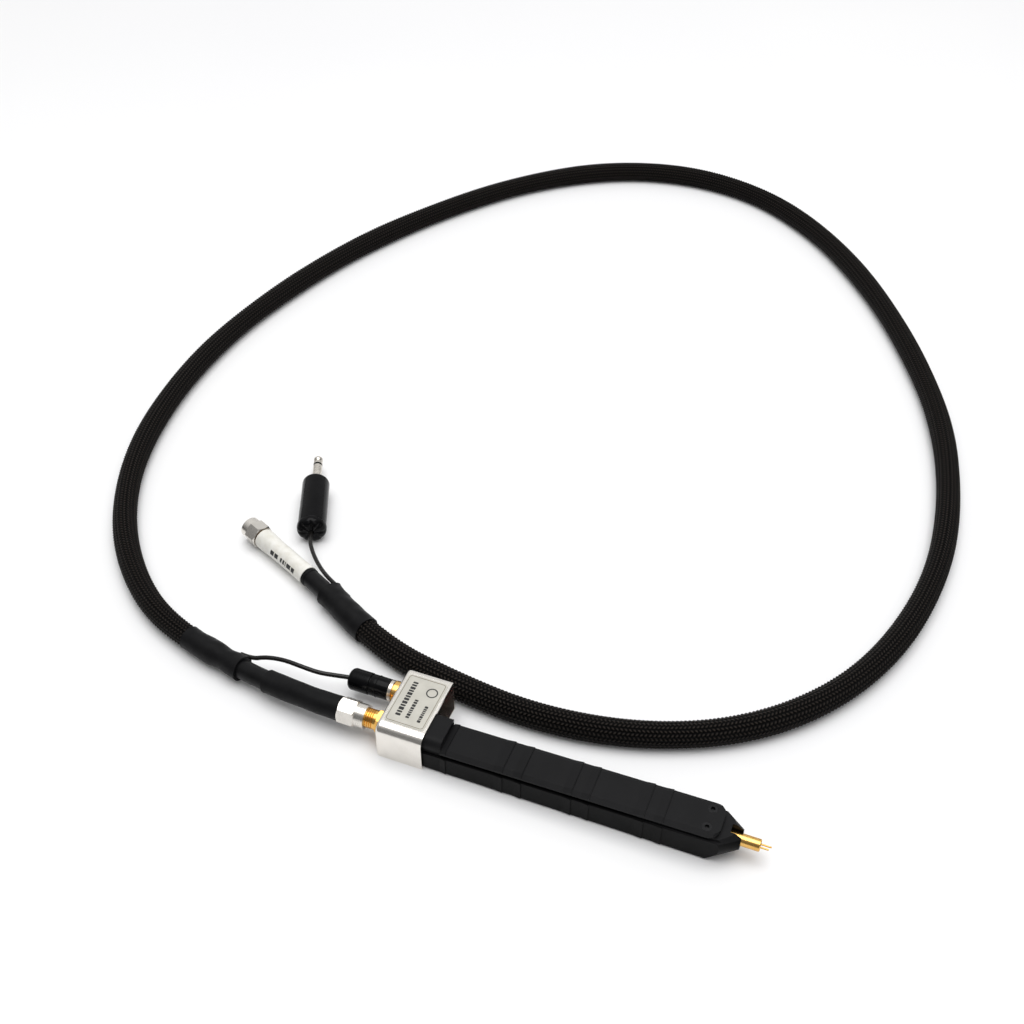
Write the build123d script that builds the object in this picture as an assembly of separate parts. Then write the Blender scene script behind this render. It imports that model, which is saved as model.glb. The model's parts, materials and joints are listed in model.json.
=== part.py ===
from build123d import *
import os
from math import cos, pi, radians, tan

# A hand-held signal probe lying on a bench. X runs towards the tip, Y to the far side, Z up, in mm.
# The origin is at the middle of the bottom of the probe itself, without its cable.

# Connector housing: folded nickel-plated sheet, open at the front
REAR_X = -56.5
HOUSING_LENGTH = 15.8
HOUSING_WIDTH = 26.2
HOUSING_HEIGHT = 13.5
SHEET = 0.8
BEND_RADIUS = 1.6
NEAR_BEND_RADIUS = 3.5
REAR_BEND_RADIUS = 1.2
HOLE_CLEARANCE = 0.02
LABEL_THICKNESS = 0.12
LABEL_CORNER_RADIUS = 0.9
LABEL_LENGTH = 13.4
LABEL_WIDTH = 19.8
LABEL_CENTRE_X = REAR_X + 8.2
LABEL_CENTRE_Y = 0.9

# Axes that run along X
AXIS_Y = -6.0
TIP_Z = 6.5
RF_Z = 7.6
CONTROL_Y = 7.0
CONTROL_Z = 7.2

# Handle
TANG_REAR = REAR_X + 2.8
TANG_FRONT = REAR_X + 21.6
TANG_HALF_WIDTH = 5.5
TANG_TOP = 12.6
TANG_ROUND = 2.6
BODY_REAR = REAR_X + 16.0
COVER_FRONT = REAR_X + 108.8
NOSE_FRONT = REAR_X + 114.8
HALF_WIDTH = 6.2
WAIST_HALF_WIDTH = 5.3
COVER_TOP_HALF_WIDTH = 4.8
EDGE_CHAMFER = 0.7
SIDE_TOP = 7.6
SIDE_TOP_BEVEL = 0.3
SPLIT = 8.6
BRIM_BOTTOM = 9.1
BRIM_TOP = 9.7
COVER_TOP = 10.45
RISE_PER_MM = 0.0204
NOSE_RADIUS = 3.0
CONE_LENGTH = 11.0
CONE_GROWTH = 0.614
COVER_END_RADIUS = 3.6
SLOT_REAR = REAR_X + 111.4
SLOT_HALF_WIDTH = 1.5
RIDGE_HEIGHT = 0.4
SIDE_RIDGE_HEIGHT = 0.25
RIDGES = [(21.6, 23.5), (39.2, 42.2), (45.6, 48.3), (61.4, 64.2), (67.3, 69.8), (83.4, 86.7), (89.6, 92.4)]

# Fasteners
SCREW_X = REAR_X + 104.8
SCREW_SPACING = 6.6
SCREW_HEAD_RADIUS = 1.5
SCREW_HEAD_DEPTH = 0.8
SCREW_RADIUS = 0.8
SCREW_CLEARANCE = 0.05
SCREW_LENGTH = 5.5
SOCKET_ACROSS_FLATS = 1.3
SOCKET_DEPTH = 0.7
BASE_SCREWS = [(REAR_X + 6.0, AXIS_Y - 3.6), (REAR_X + 12.6, AXIS_Y - 3.6)]
BASE_SCREW_LENGTH = 4.5

# Sprung tip cartridge
BARREL_RADIUS = 1.9
BARREL_FRONT = REAR_X + 120.5
PIN_END = REAR_X + 123.6
GROUND_PIN_END = REAR_X + 123.0
COLLAR_FRONT = REAR_X + 103.9
COLLAR_REAR = REAR_X + 102.3
COLLAR_RADIUS = 2.6
SHANK_RADIUS = 1.6
SHANK_REAR = REAR_X + 90.0
SHANK_BORE_RADIUS = 1.15
SHANK_BORE_END = REAR_X + 100.0
INSULATOR_RADIUS = 0.55
SIGNAL_PIN_OFFSET = 0.5
SIGNAL_PIN_RADIUS = 0.28
SIGNAL_PIN_REAR = REAR_X + 98.0
SIGNAL_SOCKET_RADIUS = 0.45
SIGNAL_SOCKET_BORE_RADIUS = 0.6
SIGNAL_SOCKET_END = REAR_X + 102.0
GROUND_PIN_OFFSET = 0.6
GROUND_PIN_RADIUS = 0.28
GROUND_SPRING_MEAN_RADIUS = 0.2
GROUND_SPRING_WIRE_RADIUS = 0.06
GROUND_SPRING_TURNS = 6
BARREL_CHAMFER = 0.25
PIN_CHAMFER = 0.12
GROUND_BORE_REAR = REAR_X + 113.0
GROUND_PIN_REAR = REAR_X + 115.9
RUNNING_CLEARANCE = 0.05
SPRING_REAR = REAR_X + 92.0
SPRING_FRONT = REAR_X + 101.5
SPRING_MEAN_RADIUS = 2.0
SPRING_WIRE_RADIUS = 0.22
SPRING_TURNS = 7

# Pocket and channels inside the handle
POCKET_FRONT = REAR_X + 104.0
POCKET_HALF_WIDTH = 2.75
POCKET_FLOOR = 3.75
GUIDE_WALL_REAR = REAR_X + 90.0
SWITCH_POCKET_REAR = REAR_X + 76.0
SWITCH_POCKET_NEAR = AXIS_Y - 1.8
SWITCH_POCKET_FAR = AXIS_Y + 4.8
LINE_CHANNEL_HALF_WIDTH = 1.3
LINE_CHANNEL_FLOOR = 5.0
WIRE_Y = AXIS_Y + 3.6
WIRE_CORNER = REAR_X + 9.0
WIRE_CHANNEL_HALF_WIDTH = 0.65
WIRE_CHANNEL_FLOOR = 5.3
TUNNEL_TOP = 9.2

# Micro-switch
SWITCH_REAR = REAR_X + 78.0
SWITCH_FRONT = REAR_X + 86.0
SWITCH_NEAR = AXIS_Y + 1.5
SWITCH_FAR = AXIS_Y + 4.5
SWITCH_TOP = 9.3
BUTTON_Y = AXIS_Y + 2.25
BUTTON_Z = 8.5
BUTTON_RADIUS = 0.5
BUTTON_FRONT = REAR_X + 88.1
BUTTON_LENGTH = 3.9
BUTTON_BORE_DEPTH = 3.6
TERMINAL_LENGTH = 1.5
TERMINAL_RADIUS = 0.3
PUSHER_REAR = REAR_X + 88.2
LUG_NEAR = AXIS_Y + 1.5
LUG_BOTTOM = TIP_Z + 1.0
ARM_NEAR = AXIS_Y + 1.9
ARM_FAR = AXIS_Y + 2.6
ARM_BOTTOM = TIP_Z + 1.6
ARM_TOP = TIP_Z + 2.4
ARM_CLEARANCE = 0.15
WIRE_RADIUS = 0.45
WIRE_ENDS = [(6.0, CONTROL_Y + 1.0, REAR_X + 4.4), (7.15, CONTROL_Y, REAR_X + 6.0)]
WIRE_BEND = 2.0

# RF line and connectors
LINE_RADIUS = 1.1
LINE_CORE_RADIUS = 0.2
LINE_DROP_START = REAR_X + 17.0
LINE_DROP_END = REAR_X + 29.0
LINE_FRONT = REAR_X + 96.0
CONDUCTOR_REAR = REAR_X + 4.0
CONDUCTOR_FRONT = REAR_X + 100.0
THREAD_RADIUS = 3.175
THREAD_PITCH = 0.705
THREAD_DEPTH = 0.3
THREAD_LEAD = 1.0
GROOVE_HALF_WIDTH = 0.28
JACK_REACH = 10.6
JACK_MOUTH_RADIUS = 2.35
JACK_MOUTH_DEPTH = 2.0
JACK_BORE_RADIUS = 2.0
JACK_BORE_END = REAR_X + 6.0
JACK_CONTACT_RADIUS = 0.64
JACK_SOCKET_END = REAR_X - 3.0
JACK_NUT_THICKNESS = 2.0
JACK_NUT_ACROSS_FLATS = 7.0
JACK_NUT_TURN = 10.0
JACK_FLANGE_RADIUS = 4.2
JACK_TAIL_RADIUS = 2.2
JACK_TAIL_END = REAR_X + 9.0
HEX_ACROSS_FLATS = 7.94
HEX_CHAMFER = 0.5
HEX_TURN = 14.0
NEAR_NUT_LENGTHS = (6.0, 3.2)
FAR_NUT_LENGTHS = (5.2, 2.8)
NUT_COLLAR_RADIUS = 3.9
NUT_WALL = 3.4
PLUG_GAP = 0.2
NUT_BORE_RADIUS = 3.25
PLUG_SHOULDER_RADIUS = 3.18
PLUG_BODY_RADIUS = 2.7
PLUG_PIN_RADIUS = 0.46
PLUG_PIN_CHAMFER = 0.15
PLUG_FACE = 4.5
PLUG_TAIL = 2.1
NEAR_PLUG_BASE = REAR_X - JACK_REACH - PLUG_FACE

# Control jack and the boot of its plug
CONTROL_JACK_RADIUS = 2.5
CONTROL_JACK_REACH = 8.0
CONTROL_FLANGE_RADIUS = 3.4
CONTROL_FLANGE_END = REAR_X + 2.2
CONTROL_TAIL_RADIUS = 2.1
CONTROL_TAIL_END = REAR_X + 4.4
CONTROL_MOUTH_DEPTH = 3.0
CONTROL_PIN_RECESS = 0.6
CONTROL_PIN_END = REAR_X + 6.0
CONTROL_BORE_RADIUS = 1.6
CONTROL_PIN_RADIUS = 0.4
CONTROL_NUT_RADIUS = 3.6
CONTROL_NUT_THICKNESS = 2.4
BOOT_REAR = REAR_X - 18.3
BOOT_STEP = REAR_X - 10.8
BOOT_FRONT = REAR_X - 3.9
BOOT_RADIUS = 3.65
BOOT_FRONT_RADIUS = 3.5
BOOT_ROUND = 1.5
SHELL_REAR = REAR_X - 9.0
SHELL_RADIUS = 2.8
SHELL_FRONT = REAR_X - 2.8

# Cable
COAX_RADIUS = 3.3
BRAID_RADIUS = 4.35
LEAD_RADIUS = 0.75
HEAT_SHRINK_1_RADIUS = 3.95
HEAT_SHRINK_2_RADIUS = 4.6
HEAT_SHRINK_3_RADIUS = 4.85
MARKER_RADIUS = 3.65
RUN_SHARE = 0.45

# Routes of the cable and leads, from the handle outwards
NEAR_COAX_ROUTE = [
    (-73.7, -6.0, 7.6),
    (-81.5, -5.8, 7.5),
    (-91.5, -4.6, 6.8),
    (-101.5, -3.1, 5.8),
    (-111.5, -1.1, 5.0),
    (-121.5, 1.4, 4.9),
]
BRAID_ROUTE = [
    (-121.5, 1.4, 4.9),
    (-141.0, 5.5, 4.7),
    (-165.0, 19.5, 4.4),
    (-188.5, 45.0, 4.4),
    (-206.0, 80.0, 4.4),
    (-214.5, 121.0, 4.4),
    (-215.5, 163.0, 4.4),
    (-208.0, 208.0, 4.4),
    (-194.0, 254.0, 4.4),
    (-170.0, 301.0, 4.4),
    (-142.0, 340.0, 4.4),
    (-107.0, 368.0, 4.4),
    (-68.0, 379.0, 4.4),
    (-28.0, 371.5, 4.4),
    (7.0, 346.5, 4.4),
    (37.5, 310.0, 4.4),
    (64.0, 264.5, 4.4),
    (84.5, 217.0, 4.4),
    (94.0, 172.0, 4.4),
    (96.0, 130.0, 4.4),
    (88.0, 89.0, 4.4),
    (72.5, 58.0, 4.4),
    (49.0, 34.5, 4.4),
    (19.0, 20.5, 4.4),
    (-13.0, 15.5, 4.4),
    (-45.0, 18.7, 4.4),
    (-72.5, 24.8, 4.4),
    (-92.0, 35.3, 4.9),
]
FAR_COAX_ROUTE = [
    (-92.0, 35.3, 4.9),
    (-101.5, 40.6, 4.85),
    (-111.3, 45.5, 4.7),
    (-122.9, 51.1, 4.6),
    (-133.9, 56.2, 4.6),
]
NEAR_LEAD_ROUTE = [
    (-113.5, 3.4, 6.4),
    (-109.0, 2.9, 6.5),
    (-104.6, 4.4, 7.6),
    (-98.0, 5.0, 8.3),
    (-91.0, 4.5, 8.3),
    (-85.0, 4.6, 7.8),
    (-79.6, 6.0, 7.3),
    (-74.8, 7.0, 7.2),
]
FAR_LEAD_ROUTE = [
    (-92.5, 40.4, 6.0),
    (-97.3, 42.7, 6.4),
    (-102.3, 45.3, 6.4),
    (-107.1, 49.0, 5.2),
    (-111.8, 53.2, 4.4),
    (-116.0, 57.5, 4.7),
    (-118.8, 61.3, 5.3),
    (-120.1, 64.9, 5.5),
]
HEAT_SHRINK_1_REAR = REAR_X - 43.0
HEAT_SHRINK_2_ENDS = [(-110.7, -1.0, 5.2), (-134.5, 4.2, 4.85)]
HEAT_SHRINK_3_ENDS = [(-80.9, 28.9, 4.9), (-100.6, 40.1, 4.9)]
MARKER_ENDS = [(-111.0, 45.35, 4.7), (-135.2, 56.8, 4.6)]
MARKER_COLLAR_ENDS = [(-109.6, 44.65, 4.75), (-111.0, 45.35, 4.7)]
MARKER_COLLAR_RADIUS = 3.6

# Far RF plug and phone plug, each along its own axis
FAR_PLUG_BASE = (-133.9, 56.2, 4.6)
FAR_PLUG_ANGLE = 155.0
PHONE_BASE = (-120.1, 64.9, 5.5)
PHONE_ANGLE = 114.1
PHONE_CAP_RADIUS = 5.45
PHONE_CAP_ROUND = 2.4
PHONE_CAP_LENGTH = 3.4
PHONE_BARREL_RADIUS = 5.15
PHONE_BARREL_ROUND = 1.6
PHONE_BARREL_END = 28.3
PHONE_PIN_RADIUS = 1.75
PHONE_WAIST_RADIUS = 1.3
PHONE_END_RADIUS = 0.8
PHONE_SLEEVE_END = 37.3
PHONE_RING_END = 38.2
PHONE_NECK_START = 39.4
PHONE_WAIST = 40.1
PHONE_BULB_START = 40.8
PHONE_BULB_END = 41.5
PHONE_TIP_END = 42.9

PARTS = {}


def block(x1, x2, y1, y2, z1, z2):
    """A box between two opposite corners."""
    box = Box(x2 - x1, y2 - y1, z2 - z1)
    return Pos((x1 + x2) / 2, (y1 + y2) / 2, (z1 + z2) / 2) * box


def rod(x1, x2, radius, y=AXIS_Y, z=TIP_Z):
    """A cylinder along X."""
    return Pos((x1 + x2) / 2, y, z) * Rot(0, 90, 0) * Cylinder(radius, x2 - x1)


def tapered_rod(x1, x2, radius1, radius2, y=AXIS_Y, z=TIP_Z):
    """A cone along X, with radius1 at x1 and radius2 at x2."""
    return Pos((x1 + x2) / 2, y, z) * Rot(0, 90, 0) * Cone(radius1, radius2, x2 - x1)


def ring(x1, x2, outer, inner, y=AXIS_Y, z=TIP_Z):
    """A tube along X."""
    return rod(x1, x2, outer, y, z) - rod(x1, x2, inner, y, z)


def hexagon_bar(x1, x2, across_flats, turn, y, z):
    """A hexagonal bar along X whose corners are turned off at both ends."""
    inside = across_flats / 2
    corner = inside / cos(radians(30))
    flat = Plane.YZ.offset(x1) * RegularPolygon(corner, 6, rotation=turn)
    bar = extrude(flat, amount=x2 - x1)
    outline = Polyline(
        (x1, 0),
        (x1, inside),
        (x1 + HEX_CHAMFER, corner),
        (x2 - HEX_CHAMFER, corner),
        (x2, inside),
        (x2, 0),
        close=True,
    )
    return Pos(0, y, z) * (bar & revolve(Plane.XY * make_face(outline), Axis.X))


def section(points, x):
    """A face in the plane at x, from (y, z) points about the handle's plane."""
    outline = Polyline(*[(AXIS_Y + y, z) for y, z in points], close=True)
    return Plane.YZ.offset(x) * make_face(outline)


def mirrored(points):
    """A closed outline from the points of its +y half."""
    return points + [(-y, z) for y, z in reversed(points)]


def cord_path(name, points):
    """Straight runs joined by arcs that are as large as the runs allow."""
    vectors = [Vector(*point) for point in points]
    runs = [end - start for start, end in zip(vectors, vectors[1:])]
    radii = []
    for before, after in zip(runs, runs[1:]):
        shorter = min(before.length, after.length)
        half_turn = radians(before.get_angle(after)) / 2
        radii.append(RUN_SHARE * shorter / tan(half_turn))
    path = FilletPolyline(*points, radius=radii)
    print(name, "length", round(path.length, 1), "radii", [round(radius) for radius in radii])
    return path


def tube(name, points, radius):
    """A round cord along a route."""
    path = cord_path(name, points)
    start = Plane(origin=path @ 0, z_dir=path % 0)
    solid = sweep(start * Circle(radius), path=path)
    expected_volume = path.length * pi * radius**2
    print(name, "volume over section times length", round(solid.volume / expected_volume, 4))
    return solid


def rod_between(ends, radius):
    """A straight cylinder between two points."""
    start = Vector(*ends[0])
    axis = Vector(*ends[1]) - start
    face = Plane(origin=start, z_dir=axis) * Circle(radius)
    return extrude(face, amount=axis.length)


def coil_spring(x1, x2, mean_radius, wire_radius, turns, y=AXIS_Y, z=TIP_Z):
    """A compression spring along X whose wire ends lie inside x1 and x2."""
    height = x2 - x1 - 2 * wire_radius
    helix = Helix(pitch=height / turns, height=height, radius=mean_radius)
    start = Plane(origin=helix @ 0, z_dir=helix % 0)
    coil = sweep(start * Circle(wire_radius), path=helix, is_frenet=True)
    return Pos(x1 + wire_radius, y, z) * Rot(0, 90, 0) * coil


def socket_screws(places, top, length, upward):
    """Countersunk socket screws, one solid at each place, with heads flush at z = top."""
    sign = -1 if upward else 1
    screws = []
    for x, y in places:
        head = Cone(SCREW_RADIUS, SCREW_HEAD_RADIUS, SCREW_HEAD_DEPTH)
        head = Pos(0, 0, -SCREW_HEAD_DEPTH / 2) * head
        shank = Pos(0, 0, -length / 2) * Cylinder(SCREW_RADIUS, length)
        socket_corner = SOCKET_ACROSS_FLATS / 2 / cos(radians(30))
        socket = extrude(RegularPolygon(socket_corner, 6), amount=-SOCKET_DEPTH)
        screw = head + shank - socket
        screws.append(Pos(x, y, top) * Rot(0 if sign > 0 else 180, 0, 0) * screw)
    return screws


def screw_hole(x, y, top, length, upward):
    """The countersunk clearance hole of one screw, cut from both pieces that it joins."""
    reach = SCREW_HEAD_DEPTH
    head_radius = SCREW_HEAD_RADIUS + SCREW_CLEARANCE
    hole_radius = SCREW_RADIUS + SCREW_CLEARANCE
    head = Pos(0, 0, -reach / 2) * Cone(hole_radius, head_radius, reach)
    hole = Pos(0, 0, -(length + 0.3) / 2) * Cylinder(hole_radius, length + 0.3)
    above = Pos(0, 0, 0.5) * Cylinder(head_radius, 1.0)
    return Pos(x, y, top) * Rot(180 if upward else 0, 0, 0) * (head + hole + above)


def rise(x):
    """How far the handle's upper lines have climbed at x."""
    return (x - TANG_FRONT) * RISE_PER_MM


def body_section(x, swell=0.0):
    lift = rise(x)
    side = HALF_WIDTH + swell
    half = [
        (side - EDGE_CHAMFER, 0),
        (side, EDGE_CHAMFER),
        (side, SIDE_TOP - SIDE_TOP_BEVEL + lift),
        (side - SIDE_TOP_BEVEL, SIDE_TOP + lift),
        (WAIST_HALF_WIDTH, SIDE_TOP + lift),
        (WAIST_HALF_WIDTH, SPLIT + lift),
    ]
    return section(mirrored(half), x)


def cover_section(x, ridge=0.0):
    lift = rise(x)
    half = [
        (WAIST_HALF_WIDTH, SPLIT + lift),
        (WAIST_HALF_WIDTH, BRIM_BOTTOM + lift),
        (HALF_WIDTH, BRIM_BOTTOM + lift),
        (HALF_WIDTH, BRIM_TOP + lift + ridge),
        (COVER_TOP_HALF_WIDTH, COVER_TOP + lift + ridge),
    ]
    return section(mirrored(half), x)


def nose_cone():
    """The cone that sharpens the front of the handle, with everything behind it."""
    rear_radius = NOSE_RADIUS + CONE_LENGTH * CONE_GROWTH
    cone = tapered_rod(NOSE_FRONT - CONE_LENGTH, NOSE_FRONT, rear_radius, NOSE_RADIUS)
    behind = block(REAR_X, NOSE_FRONT - CONE_LENGTH, -20, 20, 0, 20)
    return cone + behind


def front_screw_places():
    return [(SCREW_X, AXIS_Y - SCREW_SPACING / 2), (SCREW_X, AXIS_Y + SCREW_SPACING / 2)]


def front_screw_top():
    return COVER_TOP + rise(SCREW_X)


def handle_body():
    """The lower shell: side ridges level with the cover's, and a tang that holds the housing."""
    body = loft([body_section(BODY_REAR), body_section(NOSE_FRONT)])
    for start, end in RIDGES:
        body += loft([body_section(REAR_X + start), body_section(REAR_X + end, SIDE_RIDGE_HEIGHT)])
    tang_near = AXIS_Y - TANG_HALF_WIDTH
    tang_far = AXIS_Y + TANG_HALF_WIDTH
    tang = block(TANG_REAR, TANG_FRONT, tang_near, tang_far, SHEET, TANG_TOP)
    tang_edge = tang.edges().filter_by(Axis.X).group_by(Axis.Z)[-1].sort_by(Axis.Y)[0]
    body = (body & nose_cone()) + fillet(tang_edge, TANG_ROUND)
    over = TANG_TOP + 1
    line_near = AXIS_Y - LINE_CHANNEL_HALF_WIDTH
    line_far = AXIS_Y + LINE_CHANNEL_HALF_WIDTH
    wire_near = WIRE_Y - WIRE_CHANNEL_HALF_WIDTH
    wire_far = WIRE_Y + WIRE_CHANNEL_HALF_WIDTH
    pocket_near = AXIS_Y - POCKET_HALF_WIDTH
    pocket_far = AXIS_Y + POCKET_HALF_WIDTH
    body -= rod(POCKET_FRONT - 1, NOSE_FRONT + 1, BARREL_RADIUS + RUNNING_CLEARANCE)
    body -= block(SLOT_REAR, NOSE_FRONT + 1, AXIS_Y - SLOT_HALF_WIDTH, AXIS_Y + SLOT_HALF_WIDTH, TIP_Z, over)
    body -= block(SPRING_REAR, POCKET_FRONT, pocket_near, pocket_far, POCKET_FLOOR, over)
    body -= rod(GUIDE_WALL_REAR - 1, SPRING_REAR + 1, SHANK_RADIUS + RUNNING_CLEARANCE)
    arm_near = ARM_NEAR - ARM_CLEARANCE
    arm_bottom = ARM_BOTTOM - ARM_CLEARANCE
    body -= block(GUIDE_WALL_REAR - 1, SPRING_REAR + 1, arm_near, pocket_far, arm_bottom, over)
    pocket_near = SWITCH_POCKET_NEAR
    pocket_far = SWITCH_POCKET_FAR
    body -= block(SWITCH_POCKET_REAR, GUIDE_WALL_REAR, pocket_near, pocket_far, POCKET_FLOOR, over)
    body -= block(TANG_FRONT, SWITCH_POCKET_REAR + 1, line_near, line_far, LINE_CHANNEL_FLOOR, over)
    body -= block(TANG_FRONT, SWITCH_POCKET_REAR + 1, wire_near, wire_far, WIRE_CHANNEL_FLOOR, over)
    body -= block(TANG_REAR, TANG_FRONT, line_near, line_far, LINE_CHANNEL_FLOOR, TUNNEL_TOP)
    body -= block(WIRE_CORNER - 1.2, TANG_FRONT, wire_near, wire_far, WIRE_CHANNEL_FLOOR, TUNNEL_TOP)
    bend_end = WIRE_CORNER + WIRE_BEND + WIRE_RADIUS
    body -= block(WIRE_CORNER - 1.2, bend_end, wire_near, 1, WIRE_CHANNEL_FLOOR, TUNNEL_TOP)
    body -= rod(TANG_REAR - 1, JACK_TAIL_END + 0.2, JACK_TAIL_RADIUS + RUNNING_CLEARANCE, AXIS_Y, RF_Z)
    for x, y in front_screw_places():
        body -= screw_hole(x, y, front_screw_top(), SCREW_LENGTH, False)
    for x, y in BASE_SCREWS:
        body -= screw_hole(x, y, 0, BASE_SCREW_LENGTH, True)
    return body


def handle_cover():
    """The upper shell with its saw-tooth finger ridges and rounded front end."""
    cover = loft([cover_section(TANG_FRONT), cover_section(COVER_FRONT)])
    for start, end in RIDGES:
        cover += loft([cover_section(REAR_X + start), cover_section(REAR_X + end, RIDGE_HEIGHT)])
    middle = (TANG_FRONT + COVER_FRONT) / 2
    length = COVER_FRONT - TANG_FRONT
    plan = Box(length, 2 * HALF_WIDTH, 40)
    front_corners = plan.edges().filter_by(Axis.Z).group_by(Axis.X)[-1]
    plan = Pos(middle, AXIS_Y, 0) * fillet(front_corners, COVER_END_RADIUS)
    cover = cover & plan & nose_cone()
    for x, y in front_screw_places():
        cover -= screw_hole(x, y, front_screw_top(), SCREW_LENGTH, False)
    return cover


def folded_form(inset, front, bottom):
    """The housing's outside, or its inside when inset by the sheet: wide near bend, tight rear bends."""
    half = HOUSING_WIDTH / 2 - inset
    form = block(REAR_X + inset, front, -half, half, bottom, HOUSING_HEIGHT - inset)
    near_edge = form.edges().filter_by(Axis.X).group_by(Axis.Z)[-1].sort_by(Axis.Y)[0]
    form = fillet(near_edge, NEAR_BEND_RADIUS - inset)
    far_edge = form.edges().filter_by(Axis.X).group_by(Axis.Z)[-1].sort_by(Axis.Y)[-1]
    form = fillet(far_edge, BEND_RADIUS - inset)
    rear_face = form.faces().sort_by(Axis.X)[0]
    return fillet(rear_face.edges().sort_by(Axis.Z)[1:], REAR_BEND_RADIUS - inset)


def connector_housing():
    """Folded sheet with a top, two sides and a rear wall, open at the front and below."""
    front = REAR_X + HOUSING_LENGTH
    shell = folded_form(0, front, 0) - folded_form(SHEET, front + 1, -1)
    shell -= rod(REAR_X - 1, REAR_X + 2, THREAD_RADIUS + HOLE_CLEARANCE, AXIS_Y, RF_Z)
    shell -= rod(REAR_X - 1, REAR_X + 2, CONTROL_JACK_RADIUS + HOLE_CLEARANCE, CONTROL_Y, CONTROL_Z)
    return shell


def base_plate():
    half = HOUSING_WIDTH / 2 - SHEET
    plate = block(REAR_X + SHEET, REAR_X + HOUSING_LENGTH, -half, half, 0, SHEET)
    plate = fillet(plate.edges().filter_by(Axis.Z).group_by(Axis.X)[0], REAR_BEND_RADIUS - SHEET)
    for x, y in BASE_SCREWS:
        plate -= screw_hole(x, y, 0, BASE_SCREW_LENGTH, True)
    return plate


def label_plate():
    outline = RectangleRounded(LABEL_LENGTH, LABEL_WIDTH, LABEL_CORNER_RADIUS)
    return Pos(LABEL_CENTRE_X, LABEL_CENTRE_Y, HOUSING_HEIGHT) * extrude(outline, amount=LABEL_THICKNESS)


def rf_jack():
    """Threaded outside, clamped through the rear wall, with a tail for the inner line."""
    jack = rod(REAR_X - JACK_REACH, REAR_X + SHEET, THREAD_RADIUS, AXIS_Y, RF_Z)
    first_groove = REAR_X - JACK_REACH + THREAD_LEAD
    groove_count = int((JACK_REACH - JACK_NUT_THICKNESS - THREAD_LEAD) / THREAD_PITCH)
    for index in range(groove_count):
        middle = first_groove + index * THREAD_PITCH
        outline = Polyline(
            (middle - GROOVE_HALF_WIDTH, THREAD_RADIUS + 0.1),
            (middle, THREAD_RADIUS - THREAD_DEPTH),
            (middle + GROOVE_HALF_WIDTH, THREAD_RADIUS + 0.1),
            close=True,
        )
        groove = revolve(Plane.XY * make_face(outline), Axis.X)
        jack -= Pos(0, AXIS_Y, RF_Z) * groove
    jack += rod(REAR_X + SHEET, TANG_REAR, JACK_FLANGE_RADIUS, AXIS_Y, RF_Z)
    jack += rod(TANG_REAR, JACK_TAIL_END, JACK_TAIL_RADIUS, AXIS_Y, RF_Z)
    face = REAR_X - JACK_REACH
    jack -= rod(face, face + JACK_MOUTH_DEPTH, JACK_MOUTH_RADIUS, AXIS_Y, RF_Z)
    jack -= rod(face, JACK_BORE_END, JACK_BORE_RADIUS, AXIS_Y, RF_Z)
    jack -= rod(JACK_BORE_END, JACK_TAIL_END, LINE_RADIUS, AXIS_Y, RF_Z)
    return jack


def rf_jack_nut():
    start = REAR_X - JACK_NUT_THICKNESS
    nut = hexagon_bar(start, REAR_X, JACK_NUT_ACROSS_FLATS, JACK_NUT_TURN, AXIS_Y, RF_Z)
    return nut - rod(start, REAR_X, THREAD_RADIUS, AXIS_Y, RF_Z)


def rf_jack_insulator():
    start = REAR_X - JACK_REACH + JACK_MOUTH_DEPTH
    return ring(start, JACK_BORE_END, JACK_BORE_RADIUS, JACK_CONTACT_RADIUS, AXIS_Y, RF_Z)


def rf_jack_contact():
    start = REAR_X - JACK_REACH + JACK_MOUTH_DEPTH
    contact = rod(start, JACK_BORE_END, JACK_CONTACT_RADIUS, AXIS_Y, RF_Z)
    contact -= rod(start, JACK_SOCKET_END, PLUG_PIN_RADIUS + HOLE_CLEARANCE, AXIS_Y, RF_Z)
    return contact - rod(CONDUCTOR_REAR, JACK_BORE_END, LINE_CORE_RADIUS, AXIS_Y, RF_Z)


def line_route(start, end):
    return [
        (start, AXIS_Y, RF_Z),
        (LINE_DROP_START, AXIS_Y, RF_Z),
        (LINE_DROP_END, AXIS_Y, TIP_Z),
        (end, AXIS_Y, TIP_Z),
    ]


def line_conductor():
    return tube("line_conductor", line_route(CONDUCTOR_REAR, CONDUCTOR_FRONT), LINE_CORE_RADIUS)


def signal_line(conductor):
    return tube("signal_line", line_route(JACK_BORE_END, LINE_FRONT), LINE_RADIUS) - conductor


def control_jack():
    jack = rod(REAR_X - CONTROL_JACK_REACH, REAR_X + SHEET, CONTROL_JACK_RADIUS, CONTROL_Y, CONTROL_Z)
    jack += rod(REAR_X + SHEET, CONTROL_FLANGE_END, CONTROL_FLANGE_RADIUS, CONTROL_Y, CONTROL_Z)
    jack += rod(CONTROL_FLANGE_END, CONTROL_TAIL_END, CONTROL_TAIL_RADIUS, CONTROL_Y, CONTROL_Z)
    rear = REAR_X - CONTROL_JACK_REACH
    return jack - rod(rear, CONTROL_TAIL_END, CONTROL_BORE_RADIUS, CONTROL_Y, CONTROL_Z)


def control_jack_nut():
    start = REAR_X - CONTROL_NUT_THICKNESS
    return ring(start, REAR_X, CONTROL_NUT_RADIUS, CONTROL_JACK_RADIUS, CONTROL_Y, CONTROL_Z)


def control_jack_insulator():
    start = REAR_X - CONTROL_JACK_REACH + CONTROL_MOUTH_DEPTH
    return ring(start, CONTROL_TAIL_END, CONTROL_BORE_RADIUS, CONTROL_PIN_RADIUS, CONTROL_Y, CONTROL_Z)


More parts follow.
